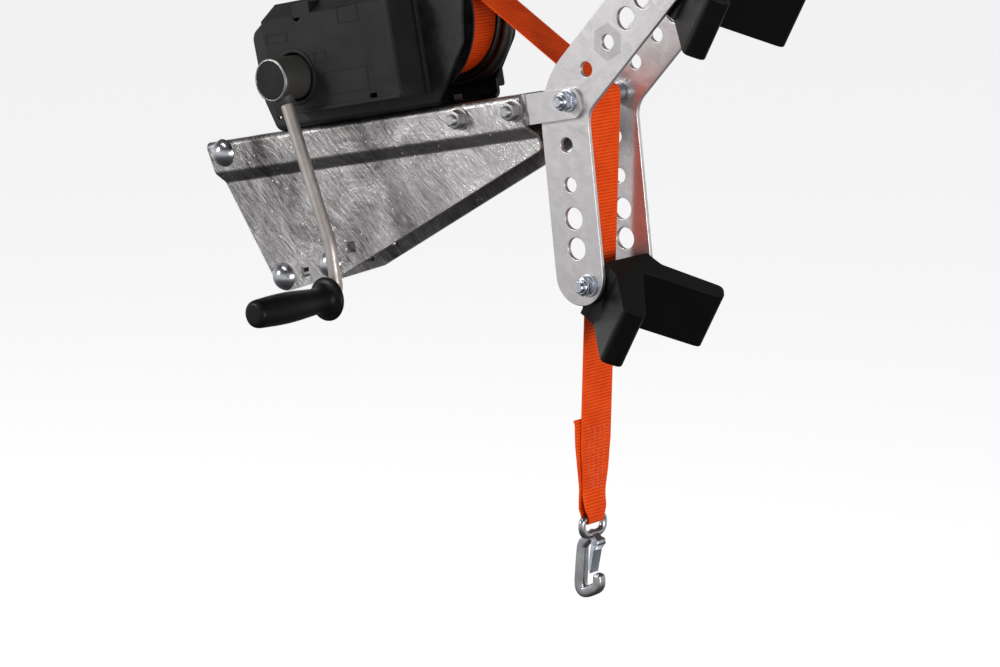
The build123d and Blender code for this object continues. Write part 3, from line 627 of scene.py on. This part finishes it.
def nut_witness():
    """The grey hexagon that a nut has left round the second upper hole."""
    y = row_box("arm_near")[0].y
    centre = HOLE_WITH_WITNESS
    rings = []
    for i in range(48):
        a = 2 * pi * i / 48
        r = 17.5 / cos((a + pi / 6) % (pi / 3) - pi / 6)
        ring = [(8.9, y + 0.3), (8.9, y - 0.03), (r, y - 0.03), (r, y + 0.3)]
        rings.append([(centre[0] + q * cos(a), h, centre[1] + q * sin(a)) for q, h in ring])
    piece("nut_witness", *closed_rings(rings), "bow_stop", "galvanised", "witness")


def winch_body():
    # the frame's bevelled edges take the lighter brown finish, a painted highlight
    softened("winch_frame", 1.4, "black_steel", edge_finish="edge_highlight_black")
    softened("far_cover", 2.5, "black_plastic", segments=3)
    softened("drum_axle", 1.0, "zinc_plate")
    softened("drum_axle_nut", 1.2, "zinc_plate")
    for i in range(1, 5):
        softened(f"base_bolt_{i}", 0.7, "zinc_plate", "dark_metal")
    for node in ("layshaft", "intermediate_gear", "drum_gear", "crank_shaft", "ratchet_wheel", "pawl", "pawl_pin"):
        finish_node(node, "dark_metal")
    for node in ("layshaft_bush", "crank_bush"):
        finish_node(node, "bronze")
    for node in ("brake_disc_inner", "brake_disc_outer"):
        finish_node(node, "brake_lining")
    finish_node("crank_arm", "crank_rod")
    for node in ("drum_hub", "drum_core"):
        finish_node(node, "black_steel")


# ---- gear cover ----------------------------------------------------------------------------------
def gear_cover():
    low, high = level_box("gear_cover")
    x0, x1, z0, z1 = low.x, high.x, low.z, high.z
    front, back = low.y + 2.0, high.y
    shoulder_y, shoulder_z = front + 26, z1 - 17
    side = [(back, z0), (front, z0), (front, shoulder_z), (shoulder_y, z1), (back, z1)]
    rings = [[(x, y, z) for y, z in side] for x in (x0, x1)]
    vertices, faces = closed_rings(rings, closed=False)
    cover = piece("gear_cover_shell", vertices, faces, "root", "black_plastic", place=RAISED,
                  replaces=["gear_cover"])
    cavity = [(back + 1, z0 + 3), (front + 3, z0 + 3), (front + 3, shoulder_z - 1), (shoulder_y + 1, z1 - 3),
              (back + 1, z1 - 3)]
    inner = closed_rings([[(x, y, z) for y, z in cavity] for x in (x0 + 3, x1 - 3)], closed=False)
    cut(cover, inner, RAISED)
    cut(cover, cylinder(CRANK, front - 5, front + 20, 26.5, 64), RAISED)
    cut(cover, cylinder((x0 + 55, shoulder_z - 1), front - 2, front + 9, 5.6, 32), RAISED)
    cut(cover, block((x1 - 47, front - 1, z0 + 4), (x1 - 26, front + 6, z0 + 9)), RAISED)
    rounded_edges(cover, 1.6, 3)

    ring = lathe(rounded_profile([(31, front + 0.5), (31, front - 2), (27, front - 2), (27, front + 0.5)],
                                 [0, 1.2, 0.8, 0]), CRANK, 96)
    right = block((x1 - 36, front - 0.9, z0 + 2), (x1 - 1.6, front + 0.5, shoulder_z - 0.5))
    boss = block((x0 + 50, front + 0.1, shoulder_z - 3), (x0 + 76, shoulder_y + 2, z1 - 4))
    lip = block((x0 + 2, front - 2.6, z0 - 0.5), (x1 - 2, front + 2, z0 + 3))
    rim = block((x1 - 1, back - 6, z0), (x1 + 5, back, z1 - 2))
    step = piece("gear_cover_steps", *together(right, boss, lip, rim), "root", "black_plastic", place=RAISED)
    rounded_edges(step, 0.8, 3)
    piece("gear_cover_ring", *ring, "root", "black_plastic", place=RAISED)
    panels = []
    for px0, px1, pz0, pz1 in ((4, 37, 80, 90), (117, 148, 89, 109), (73, 91, 50, 63), (82, 149, 14, 40)):
        panels.append(frame_panel(x0 + px0, x0 + px1, z0 + pz0, z0 + pz1, front))
    blank = piece("gear_cover_panels", *together(*panels), "root", "black_plastic", place=RAISED)
    rounded_edges(blank, 0.25, 2)


def frame_panel(x0, x1, z0, z1, front):
    """A blank raised frame, as moulded covers have round a marking."""
    rail, height = 0.9, 0.55
    parts = []
    for low, high in (((x0, z0), (x1, z0 + rail)), ((x0, z1 - rail), (x1, z1)),
                      ((x0, z0 + rail), (x0 + rail, z1 - rail)), ((x1 - rail, z0 + rail), (x1, z1 - rail))):
        parts.append(block((low[0], front - height, low[1]), (high[0], front + 0.4, high[1])))
    return together(*parts)


# ---- crank ---------------------------------------------------------------------------------------
def crank_hub():
    low, high = level_box("crank_hub")
    outer, back = low.y, high.y
    profile = rounded_profile([(9, back), (24, back), (24, outer + 3.2), (21.3, outer + 3.2), (21.3, outer + 6),
                               (9, outer + 6)], [0, 1.2, 0.6, 0, 0, 0])
    piece("crank_hub_shell", *lathe(profile, CRANK), "crank", "dark_metal", "hub_grey", RAISED, ["crank_hub"])
    rim = rounded_profile([(24.05, outer + 4), (24.05, outer + 0.6), (21.2, outer - 0.2), (21.2, outer + 4)],
                          [0, 2.2, 0.7, 0])
    # the rim is lighter than the hub's dark metal, a painted highlight ring
    piece("crank_hub_rim", *lathe(rim, CRANK), "crank", "dark_metal", "bright_rim", RAISED)
    ridges = []
    for i in range(-5, 6):
        half = math.sqrt(20.4**2 - (3.7 * i) ** 2)
        ridges.append(block((3.7 * i - 1.35, outer - 0.2, -half), (3.7 * i + 1.35, outer + 3, half)))
    turn = Matrix.Translation(Vector((CRANK[0], 0, CRANK[1])) * MM) @ Matrix.Rotation(radians(-30), 4, "Y")
    cap = piece("hub_cap_ridges", *together(*ridges), "crank", "black_plastic", place=RAISED @ turn,
                replaces=["hub_cap"])
    rounded_edges(cap, 0.55, 2)
    plug = rounded_profile([(0.01, outer + 4), (21.1, outer + 4), (21.1, outer + 0.4), (0.01, outer + 0.2)],
                           [0, 0, 1, 0])
    piece("hub_cap_plug", *lathe(plug, CRANK), "crank", "black_plastic", place=RAISED)


def crank_socket():
    """The collar where the rod enters the hub."""
    axis = Vector((at_joint("crank_spin")[0], 0, at_joint("crank_spin")[1]))
    rod_y = row_box("crank_arm")[1].y - 7.0
    lean = radians(23.2)
    down = Vector((sin(lean), 0, -cos(lean)))
    start = axis + Vector((0, rod_y, 0)) + down * 19
    path = [start, start + down * 5, start + down * 9.5, start + down * 10.5]
    radii = [12.5, 11.6, 9.2, 7.3]
    def section(share):
        r = radii[round(share * 3)]
        return [(r * cos(2 * pi * k / 40), r * sin(2 * pi * k / 40)) for k in range(40)]
    piece("crank_socket", *swept(path, section), "crank", "dark_metal", "hub_grey")


def grip():
    low, high = row_box("grip")
    centre = at_joint("grip_spin")
    inner, tip = high.y, low.y
    profile = [(7.4, inner), (19, inner), (22.4, inner - 0.4), (23.8, inner - 1.8), (24.2, inner - 3.6),
               (23.6, inner - 5.6), (21.4, inner - 7.2), (18.2, inner - 8.4), (16.2, inner - 10.5),
               (15.0, inner - 14), (14.4, inner - 19), (14.6, inner - 27), (15.4, inner - 38),
               (16.3, inner - 50), (16.9, inner - 63), (17.0, inner - 76), (16.7, inner - 88),
               (16.2, inner - 98), (15.7, tip + 9), (15.2, tip + 5.4), (14.2, tip + 2.6), (12.4, tip + 0.9),
               (10.2, tip + 0.2), (6, tip), (0.01, tip), (0.01, tip + 8), (7.4, tip + 8)]
    piece("grip_handle", *lathe(smoothed(profile, 3), centre, 72), "grip", "grip", replaces=["grip"])


def smoothed(points, splits):
    """Points on a Catmull-Rom curve through a profile."""
    out = []
    for i in range(len(points) - 1):
        p = [Vector(points[max(0, min(len(points) - 1, i + k))]) for k in (-1, 0, 1, 2)]
        sharp = (p[1] - p[0]).length > 1e-9 and (p[1] - p[0]).angle(p[2] - p[1], 0) > 1.2
        for k in range(splits):
            t = k / splits
            if sharp or i > len(points) - 5:
                out.append(tuple(p[1].lerp(p[2], t)))
                continue
            point = 0.5 * (2 * p[1] + (p[2] - p[0]) * t + (2 * p[0] - 5 * p[1] + 4 * p[2] - p[3]) * t * t
                           + (3 * p[1] - p[0] - 3 * p[2] + p[3]) * t**3)
            out.append((max(point.x, 0.01), point.y))
    out.append(points[-1])
    return out


# ---- drum ----------------------------------------------------------------------------------------
def drum():
    low, high = level_box("drum_flange_near")
    near = rounded_profile([(12.2, high.y), (12.2, low.y), (40, low.y), (46, low.y + 0.8), (80, low.y + 0.8),
                            (84, low.y - 0.2), (84.2, high.y - 0.6), (80, high.y)], 0.7, 3)
    piece("drum_cheek_near", *lathe(near, DRUM, 160), "drum", "black_steel", place=RAISED,
          replaces=["drum_flange_near"])
    y = level_box("drum_flange_far")[0].y
    far = [(12.2, y), (64, y), (66, y + 0.6), (68, y + 2.4), (70, y + 3.4), (72.5, y + 3.6), (74.5, y + 2.6),
           (75.6, y + 1.2), (77, y + 0.7), (79, y + 0.8), (81.5, y + 2), (83.6, y + 4.4), (84.2, y + 7.2),
           (83.4, y + 9.8), (81.4, y + 10.8), (80, y + 9.6), (79.6, y + 7.4), (78, y + 5.6), (75, y + 6.6),
           (72, y + 7.4), (68.5, y + 6.6), (65.5, y + 4.4), (62, y + 3), (12.2, y + 3)]
    piece("drum_cheek_far", *lathe(smoothed(far, 3), DRUM, 192), "drum", "black_steel", "dark_metal", RAISED,
          ["drum_flange_far"])


RIB_PITCH, RIB_HEIGHT = 3.6, 0.5


def rib(phase):
    """The webbing's cross rib: round on top, with a sharp groove at each whole phase."""
    return RIB_HEIGHT * (abs(sin(pi * phase)) - 1)


def webbing_roll():
    low, high = level_box("webbing_roll")
    outer = (high.x - low.x) / 2
    layer = 2.0
    inner = 32.0
    profile = [(inner, -24.6)]
    r = inner
    while r + layer < outer:
        profile += [(r + 0.35, -24.9), (r + layer - 0.35, -24.9), (r + layer, -24.3)]
        r += layer
    profile += [(outer - 1.2, -24.9), (outer - 0.3, -24.6), (outer, -23.6)]
    profile += [(outer, -23.6 + 47.2 * i / 10) for i in range(1, 10)]
    profile += [(radius, -y) for radius, y in reversed(profile[:-9])]
    ribs = round(2 * pi * outer / RIB_PITCH)
    def wave(a, radius, y):
        return rib(ribs * a / (2 * pi)) if radius > outer - 0.1 else 0.0
    steps = ribs * 6
    grooves = []
    for i in range(steps):
        for radius, y in profile:
            grooves.append(-wave(2 * pi * i / steps, radius, y) / RIB_HEIGHT)
    woven("webbing_turns", *lathe(profile, DRUM, steps, wave), grooves, "drum", RAISED, ["webbing_roll"])


# ---- webbing -------------------------------------------------------------------------------------
WEB_W, WEB_T = 50.0, 2.0
# The free webbing's route, as row-frame (X, Z), from the drum, round the guide roller, to the hook's eye
STRAP_ROUTE = [(217.4, 321.9), (413.9, 210.4), (426.4, 203.3), (426.0, 188.9), (413.4, -262.3)]


def route_points(route, name):
    """The route's own smooth line."""
    curve = bpy.data.curves.new(name, "CURVE")
    curve.dimensions = "3D"
    curve.resolution_u = 24
    spline = curve.splines.new("NURBS")
    spline.points.add(len(route) - 1)
    for point, (x, z) in zip(spline.points, route):
        point.co = (x * MM, 0, z * MM, 1)
    spline.order_u = 3
    spline.use_endpoint_u = True
    holder = bpy.data.objects.new(name, curve)
    bpy.context.scene.collection.objects.link(holder)
    bpy.context.view_layer.update()
    mesh = bpy.data.meshes.new_from_object(holder.evaluated_get(bpy.context.evaluated_depsgraph_get()))
    points = [vertex.co.copy() / MM for vertex in mesh.vertices]
    bpy.data.objects.remove(holder)
    bpy.data.meshes.remove(mesh)
    return points


def resampled(points, step):
    """The same line with points that far apart."""
    out = [points[0]]
    left = step
    for a, b in zip(points, points[1:]):
        run = (b - a).length
        done = 0.0
        while run - done >= left:
            done += left
            out.append(a.lerp(b, done / run))
            left = step
        left -= run - done
    if (out[-1] - points[-1]).length > step * 0.3:
        out.append(points[-1])
    return out


def ribbon(points, half_width, thickness, lift=None, shift=None, ripple=None):
    """Webbing along a line in the X-Z plane, with cross ribs and round edges.

    half_width may be a function of the distance along the line, as lift (out of the line), shift (across
    it) and ripple (the height of lengthwise folds) are.
    """
    across = 16
    rings = []
    grooves = []
    along = 0.0
    for i, point in enumerate(points):
        before, after = points[max(i - 1, 0)], points[min(i + 1, len(points) - 1)]
        tangent = (after - before).normalized()
        normal = Vector((tangent.z, 0, -tangent.x))
        if i:
            along += (point - points[i - 1]).length
        half = half_width(along) if callable(half_width) else half_width
        rise = lift(along) if lift else 0.0
        aside = shift(along) if shift else 0.0
        folds = ripple(along) if ripple else 0.0
        ring = []
        for side in (1, -1):
            for k in range(across + 1):
                y = half * (2 * k / across - 1) * side
                edge = max(0.0, abs(y) - (half - 1.6)) / 1.6
                depth = thickness / 2 * math.sqrt(max(0.0, 1 - 0.75 * edge * edge))
                ridge = rib(along / RIB_PITCH) * (1 - 0.6 * edge)
                out = rise + side * (depth + ridge) + folds * cos(2 * pi * y / 9.0)
                ring.append(tuple(point + normal * out + Vector((0, y + aside, 0))))
                grooves.append(-ridge / RIB_HEIGHT)
        rings.append(ring)
    return *closed_rings(rings, closed=False), grooves


# The doubled end's half width at heights above the hook's eye
TAPER = [(85.0, 25.0), (12.0, 17.5), (1.0, 12.5), (-30.0, 12.5)]
LOOP_R = 5.3


def tapered(above):
    for (top, wide), (foot, narrow) in zip(TAPER, TAPER[1:]):
        if above > top:
            return wide
        if above > foot:
            return narrow + (wide - narrow) * (above - foot) / (top - foot)
    return TAPER[-1][1]


def strap():
    line = resampled(route_points(STRAP_ROUTE, "strap_route"), RIB_PITCH / 6)
    length = sum((b - a).length for a, b in zip(line, line[1:]))
    down = (line[-1] - line[-60]).normalized()
    back = Vector((down.z, 0, -down.x))  # away from the boat
    eye = Vector((EYE[0], 0, EYE[1]))
    stand_off = LOOP_R - (line[-1] - eye).dot(-back)

    def to_front(along):
        left = max(0.0, 1 - (length - along) / 34)
        return -stand_off * left * left * (3 - 2 * left)

    def sewn_folds(along):
        above = length - along
        return 0.7 * min(1.0, max(0.0, (80 - above) / 30)) * min(1.0, max(0.0, above - 6) / 16)

    lead = woven("webbing_lead", *ribbon(line, lambda along: tapered(length - along), WEB_T, to_front,
                                         ripple=sewn_folds), "root", replaces=["strap_lead"])

    # The end goes round the eye and up behind the lead, where it is sewn on a little askew
    loop = []
    for k in range(25):
        a = pi * k / 24
        loop.append(eye - back * LOOP_R * cos(a) + down * LOOP_R * sin(a))
    rise_start = loop[-1]
    seam_foot = line[-1] - down * 36 + back * (WEB_T + 0.1)
    climb = []
    for k in range(1, 30):
        t = k / 30
        climb.append(rise_start.lerp(seam_foot, t) + back * 0.6 * sin(pi * t))
    seam = [seam_foot - down * k for k in range(0, 71)]
    flare = [seam[-1] - down * k + back * 0.04 * k * k for k in range(1, 8)]
    tail_line = resampled(loop + climb + seam + flare, RIB_PITCH / 6)
    tail_length = sum((b - a).length for a, b in zip(tail_line, tail_line[1:]))
    loop_length = pi * LOOP_R

    def tail_half(along):
        return tapered(along - loop_length)

    def askew(along):
        return -8.5 * max(0.0, along - loop_length) / (tail_length - loop_length)

    tail = woven("webbing_tail", *ribbon(tail_line, tail_half, WEB_T, shift=askew), "root")

    stitches = []
    for row in (-13.0, -4.5, 4.0, 12.5):
        path = []
        for k in range(61):
            above = 34 + 68 * k / 60
            y = (row + 2.2 * (k % 2 * 2 - 1)) * tapered(above) / 25
            path.append(line[-1] - down * above - back * (WEB_T / 2 + 0.3) + Vector((0, y, 0)))
        stitches.append(swept(path, lambda share: [(0.4 * cos(2 * pi * k / 6), 0.4 * sin(2 * pi * k / 6))
                                                   for k in range(6)]))
    thread = piece("webbing_stitches", *together(*stitches), "root", "webbing", "thread")

    steps = max(2, int((length) / 4))
    path = resampled(line, length / steps)

    drum_at = at_joint("drum_spin")
    start = math.atan2(STRAP_ROUTE[0][1] - drum_at[1], STRAP_ROUTE[0][0] - drum_at[0])
    radius = math.hypot(STRAP_ROUTE[0][0] - drum_at[0], STRAP_ROUTE[0][1] - drum_at[1])
    turn = []
    for k in range(241):
        a = start + radians(330) * (1 - k / 240)
        turn.append(Vector((drum_at[0] + radius * cos(a), 0, drum_at[1] + radius * sin(a))))
    woven("webbing_last_turn", *ribbon(resampled(turn, RIB_PITCH / 6), WEB_W / 2, 1.7), "root")


# ---- hook ----------------------------------------------------------------------------------------
def hook():
    x, z = EYE
    bar, half, deep = 4.0, 18.0, 18.0
    loop = [(x, -half, z), (x, half, z), (x, half, z - deep), (x, -half, z - deep)]
    ring = [Vector((x, 0, z))]
    corners = [Vector(p) for p in (loop[1], loop[2], loop[3], loop[0])]
    path = rounded_path([ring[0]] + corners + [ring[0]], [6, 11.5, 11.5, 6], 8)[:-1]
    rings = []
    count = len(path)
    for i, point in enumerate(path):
        tangent = (path[(i + 1) % count] - path[i - 1]).normalized()
        u = Vector((1, 0, 0))
        v = tangent.cross(u)
        thick = bar * (1.0 + 0.12 * max(0.0, (z - 6 - point.z) / deep))
        rings.append([tuple(point + (u * cos(2 * pi * k / 28) + v * sin(2 * pi * k / 28)) * thick)
                      for k in range(28)])
    eye = closed_rings(rings)
    low = z - deep
    route = rounded_path([(x + 1.5, 0, low + 1), (x - 13.5, 0, low - 14), (x - 17, 0, z - 90), (x + 10, 0, z - 76),
                          (x + 9, 0, z - 60)], [9, 10, 10], 10)
    dense = resampled(route, 1.2)
    def section(share):
        wide = 5.2 + 1.3 * min(1.0, share * 3) - 1.0 * max(0.0, (share - 0.82) / 0.18)
        thick = 4.6 + 1.6 * min(1.0, share * 2.2) - 0.4 * max(0.0, (share - 0.82) / 0.18)
        close = min(1.0, math.sqrt(max(0.0, 1 - max(0.0, (share - 0.955) / 0.046) ** 2)) + 0.02)
        ring = []
        for k in range(40):
            a = 2 * pi * k / 40
            c, s = cos(a), sin(a)
            power = 0.62
            ring.append((thick * close * math.copysign(abs(c) ** power, c),
                         wide * close * math.copysign(abs(s) ** power, s)))
        return ring
    shank = swept(dense, section)
    pivot = at_joint("latch_open")
    lug_line = [(x - 3, low - 2), (x + 3, low + 2), (pivot[0] + 3.5, pivot[1] + 3),
                (pivot[0] + 4.3, pivot[1] - 1), (pivot[0] + 1.5, pivot[1] - 4.2), (pivot[0] - 3, pivot[1] - 3.4)]
    lug = prism(rounded_profile(lug_line, 2.5, 3), -5.2, 5.2)
    piece("hook_body", *together(eye, shank), "hook", "hook_steel", replaces=["hook"])
    rounded_edges(piece("hook_lug", *lug, "hook", "hook_steel"), 0.8, 2)
    softened("hook_latch", 0.35, "hook_steel", "bright_zinc")
    pin = rounded_profile([(0.01, -8.2), (2.6, -8.2), (2.6, -7.2), (1.5, -7.2), (1.5, 7.2), (2.6, 7.2), (2.6, 8.2),
                           (0.01, 8.2)], 0.3, 2)
    piece("latch_pin", *lathe(pin, pivot, 24), "hook", "zinc_plate")


# ---- bow stop pads -------------------------------------------------------------------------------
def pad(name, side_joint):
    """The moulded V with its large soft edges."""
    centre = at_joint(side_joint)
    aim = 28.0
    place = Matrix.Translation(Vector((centre[0], 0, centre[1])) * MM) @ Matrix.Rotation(radians(aim), 4, "Y")
    top, foot, half = 29.0, -36.5, 37.5
    groove, wing, thick = 27.0, 94.0, 25.0
    d = wing * sin(radians(45))
    t = thick * sin(radians(45))
    plan = [(groove, 0), (groove + d, d), (groove + d - t, d + t), (22, half + 0.5), (12, half - 0.3),
            (0.5, half - 0.3)]
    radii = [9, 10, 8, 10, 0.5, 1]
    outline = rounded_profile(plan + [(px, -py) for px, py in reversed(plan[1:])], radii + radii[:0:-1], 5)
    rings = [[(px, py, pz) for px, py in outline] for pz in (foot, foot + 22, 0, top - 22, top)]
    vertices, faces = closed_rings(rings, closed=False)
    wings = piece(f"{name}_vee", vertices, faces, name, "pad_rubber", place=place, replaces=[name])
    rounded_edges(wings, 6.5, 4, 50)
    heel = [(12, top - 1), (3, top - 1), (-9, 7), (-10.6, -3), (-8, -10), (-1, -28.5), (8, foot + 1), (12, foot + 1)]
    back = prism(rounded_profile(heel, [0, 3, 7, 7, 7, 7, 2, 0], 4), -half, half)
    block_piece = piece(f"{name}_block", *back, name, "pad_rubber", place=place)
    rounded_edges(block_piece, 1.6, 3)


# ---- fasteners -----------------------------------------------------------------------------------
def hex_rings(centre, across, y0, way, height, bore, chamfer=30.0, steps=48):
    """A hexagon with its corners turned off, standing from y0 in the way direction, with a bored centre."""
    crown = across / 2 * 0.96
    levels = []
    for i in range(steps):
        a = 2 * pi * i / steps
        hex_r = across / 2 / cos((a + pi / 6) % (pi / 3) - pi / 6)
        side = height - (hex_r - crown) * tan(radians(chamfer))
        ring = [(bore, 0.0), (hex_r, 0.0), (hex_r, side), (crown, height), (bore + 0.9, height), (bore, height - 0.9)]
        levels.append([(centre[0] + r * cos(a), y0 + way * h, centre[1] + r * sin(a)) for r, h in ring])
    return closed_rings(levels)


def thread(centre, y0, way, length, radius=5.95, pitch=1.75):
    """The bolt's end: a helical thread with a chamfered tip."""
    samples, steps = 7, 32
    rings = []
    count = int(length / pitch * samples)
    for i in range(count + 1):
        h = length * i / count
        end = max(0.0, h - (length - 1.3))
        ring = []
        for j in range(steps):
            a = 2 * pi * j / steps
            phase = (h / pitch + j / steps) % 1.0
            r = radius - 0.4 * abs(2 * phase - 1) - end * 0.9
            ring.append((centre[0] + r * cos(a), y0 + way * h, centre[1] + r * sin(a)))
        rings.append(ring)
    return closed_rings(rings, closed=False)


def washer(centre, y0, y1, outer=12.0, bore=6.3):
    low, high = min(y0, y1), max(y0, y1)
    return lathe(rounded_profile([(bore, low), (outer, low), (outer, high), (bore, high)], 0.5, 2), centre, 64)


def nut_piece(node, centre, place, collar, finish=None):
    low, high = level_box(node) if place is RAISED else row_box(node)
    way = 1 if high.y > 0 else -1
    seat = low.y if way > 0 else high.y
    end = high.y if way > 0 else low.y
    hexagon = abs(end - seat) - WASHER_T - collar
    face = seat + way * WASHER_T
    shapes = [washer(centre, seat, face), hex_rings(centre, ACROSS, face, way, hexagon, 5.3)]
    if collar:
        y0 = seat + way * (WASHER_T + hexagon - 0.4)
        profile = [(5.6, 0), (8.4, 0), (8.2, collar * 0.7), (7.2, collar + 0.3), (5.8, collar + 0.3), (5.6, collar)]
        shapes.append(lathe([(r, y0 + way * h) for r, h in rounded_profile(profile, 0.6, 2)], centre, 48))
    piece(f"{node}_shape", *together(*shapes), nodes[node]["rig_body"], "zinc_plate", finish, place,
          [node])


def hex_bolt_piece(node, centre, place, finish=None):
    low, high = level_box(node) if place is RAISED else row_box(node)
    end, top = low.y, high.y
    seat = top - HEAD_H
    head = hex_rings(centre, ACROSS, seat, 1, HEAD_H, 0.6)
    crown = lathe([(0.01, top - 0.9), (1.6, top - 0.9), (1.6, top - 0.2), (0.01, top - 0.2)], centre, 24)
    shank = cylinder(centre, end + THREADED, seat, SHANK_R, 32)
    shapes = [head, crown, washer(centre, seat - WASHER_T, seat), shank,
              thread(centre, end + THREADED, -1, THREADED)]
    piece(f"{node}_shape", *together(*shapes), nodes[node]["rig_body"], "zinc_plate", finish, place,
          [node])


def carriage_bolt_piece(node, centre):
    low, high = level_box(node)
    r, h = (high.x - low.x) / 2, DOME_H
    face = low.y + h
    ball = (r * r + h * h) / (2 * h)
    dome = [(0.01, face), (r - 0.3, face), (r, face - 0.4)]
    for k in range(2, 25):
        a = math.asin((r - 0.01) / ball) * (1 - k / 24)
        dome.append((max(0.01, ball * sin(a)), low.y + ball * (1 - cos(a))))
    shapes = lathe(dome, centre, 96)
    piece(f"{node}_head", *shapes, "root", "zinc_plate", "polished_zinc", RAISED)
    shank = together(prism([(centre[0] + a, centre[1] + b) for a, b in ((-6, -6), (6, -6), (6, 6), (-6, 6))],
                           face, face + 4),
                     cylinder(centre, face + 4, high.y - THREADED, SHANK_R, 32),
                     thread(centre, high.y - THREADED, 1, THREADED))
    piece(f"{node}_shank", *shank, "root", "zinc_plate", place=RAISED, replaces=[node])


def middle(node):
    low, high = level_box(node)
    return (low.x + high.x) / 2, (low.z + high.z) / 2


def fasteners():
    for name in ("top", "rear", "front"):
        carriage_bolt_piece(f"clamp_bolt_{name}", middle(f"clamp_nut_{name}"))
        nut_piece(f"clamp_nut_{name}", middle(f"clamp_nut_{name}"), RAISED, 0.0)
    for name in ("strip", "link"):
        hex_bolt_piece(f"{name}_bolt", middle(f"{name}_nut"), RAISED, "dull_zinc")
        nut_piece(f"{name}_nut", middle(f"{name}_nut"), RAISED, 0.0, "dull_zinc")
    hex_bolt_piece("elbow_bolt", ELBOW, LEVEL)
    nut_piece("elbow_nut", ELBOW, LEVEL, 3.0)
    for name in ("lower", "upper"):
        centre = at_joint(f"{name}_pad_tilt")
        hex_bolt_piece(f"{name}_pad_bolt", centre, LEVEL)
        nut_piece(f"{name}_pad_nut", centre, LEVEL, 3.0)


def guide_roller():
    r = 10.7
    half = row_box("guide_roller")[1].y
    profile = [(8.6, -half), (r, -half), (r, half), (8.6, half)]
    piece("guide_roller_tube", *lathe(rounded_profile(profile, 1.0, 3), ELBOW, 64), "guide_roller", "zinc_plate",
          replaces=["guide_roller"])


# ---- stage ---------------------------------------------------------------------------------------
def stage():
    scene = bpy.context.scene
    azimuth, elevation = radians(VIEW_AZIMUTH), radians(VIEW_ELEVATION)
    forward = Vector((-sin(azimuth) * cos(elevation), cos(azimuth) * cos(elevation), -sin(elevation)))
    camera = bpy.data.objects.new("camera", bpy.data.cameras.new("camera"))
    scene.collection.objects.link(camera)
    camera.location = VIEW_TARGET - forward * VIEW_DISTANCE
    camera.rotation_euler = forward.to_track_quat("-Z", "Y").to_euler()
    camera.data.lens = LENS
    scene.camera = camera
    scene.view_settings.view_transform = "Standard"

    mesh = bpy.data.meshes.new("floor")
    reach = 30.0
    mesh.from_pydata([(x * reach, y * reach, FLOOR_Z) for x, y in ((-1, -1), (1, -1), (1, 1), (-1, 1))], [],
                     [(0, 1, 2, 3)])
    floor = bpy.data.objects.new("floor", mesh)
    scene.collection.objects.link(floor)
    pale = bpy.data.materials.new("floor")
    pale.use_nodes = True
    shader = pale.node_tree.nodes["Principled BSDF"]
    shader.inputs["Base Color"].default_value = (0.9, 0.9, 0.9, 1)
    shader.inputs["Emission Color"].default_value = (1, 1, 1, 1)
    shader.inputs["Emission Strength"].default_value = 0.7
    shader.inputs["Roughness"].default_value = 0.9
    mesh.materials.append(pale)
    floor.visible_glossy = False
    floor.visible_diffuse = False

    studio_world(scene)
    for name, spot, size, power in LAMPS:
        lamp = bpy.data.objects.new(name, bpy.data.lights.new(name, "AREA"))
        lamp.data.shape = "RECTANGLE"
        lamp.data.size, lamp.data.size_y = size
        lamp.data.energy = power
        lamp.location = spot
        lamp.rotation_euler = (VIEW_TARGET - lamp.location).to_track_quat("-Z", "Y").to_euler()
        scene.collection.objects.link(lamp)


def studio_world(scene):
    """White behind the object; round it a bright band at eye level, with a dim floor and ceiling."""
    world = bpy.data.worlds.new("studio")
    scene.world = world
    world.use_nodes = True
    tree = world.node_tree
    background = tree.nodes["Background"]
    height = tree.nodes.new("ShaderNodeSeparateXYZ")
    place = tree.nodes.new("ShaderNodeTexCoord")
    ramp = tree.nodes.new("ShaderNodeValToRGB")
    shift = tree.nodes.new("ShaderNodeMapRange")
    shift.inputs["From Min"].default_value = -1.0
    tree.links.new(place.outputs["Generated"], height.inputs["Vector"])
    tree.links.new(height.outputs["Z"], shift.inputs["Value"])
    tree.links.new(shift.outputs["Result"], ramp.inputs["Fac"])
    while len(ramp.color_ramp.elements) < len(WORLD_BANDS):
        ramp.color_ramp.elements.new(0.5)
    for element, (up, grey) in zip(ramp.color_ramp.elements, WORLD_BANDS):
        element.position = (up + 1) / 2
        element.color = (grey, grey, grey * 1.01, 1)
    seen = tree.nodes.new("ShaderNodeLightPath").outputs["Is Camera Ray"]
    white = tree.nodes.new("ShaderNodeMix")
    white.data_type = "RGBA"
    colours = [socket for socket in white.inputs if socket.type == "RGBA"]
    colours[1].default_value = (1, 1, 1, 1)
    tree.links.new(seen, white.inputs["Factor"])
    tree.links.new(ramp.outputs["Color"], colours[0])
    mixed = [socket for socket in white.outputs if socket.type == "RGBA"][0]
    tree.links.new(mixed, background.inputs["Color"])


def thread_finish():
    s = Shader("thread", (0.85, 0.3, 0.14), 0.5, 0.0, 0.4)
    s.link(s.ramp(s.noise(300, 3), (0.3, (0.75, 0.2, 0.07)), (0.7, (0.9, 0.4, 0.22))), s.bsdf, "Base Color")
    s.bump(s.noise(2000, 2), 0.2, 0.0002)
    return s.material


FINISH["thread"] = thread_finish()
stage()
bracket()
nut_witness()
winch_body()
gear_cover()
crank_hub()
crank_socket()
grip()
drum()
webbing_roll()
hook()
strap()
pad("lower_pad", "lower_pad_tilt")
pad("upper_pad", "upper_pad_tilt")
fasteners()
guide_roller()
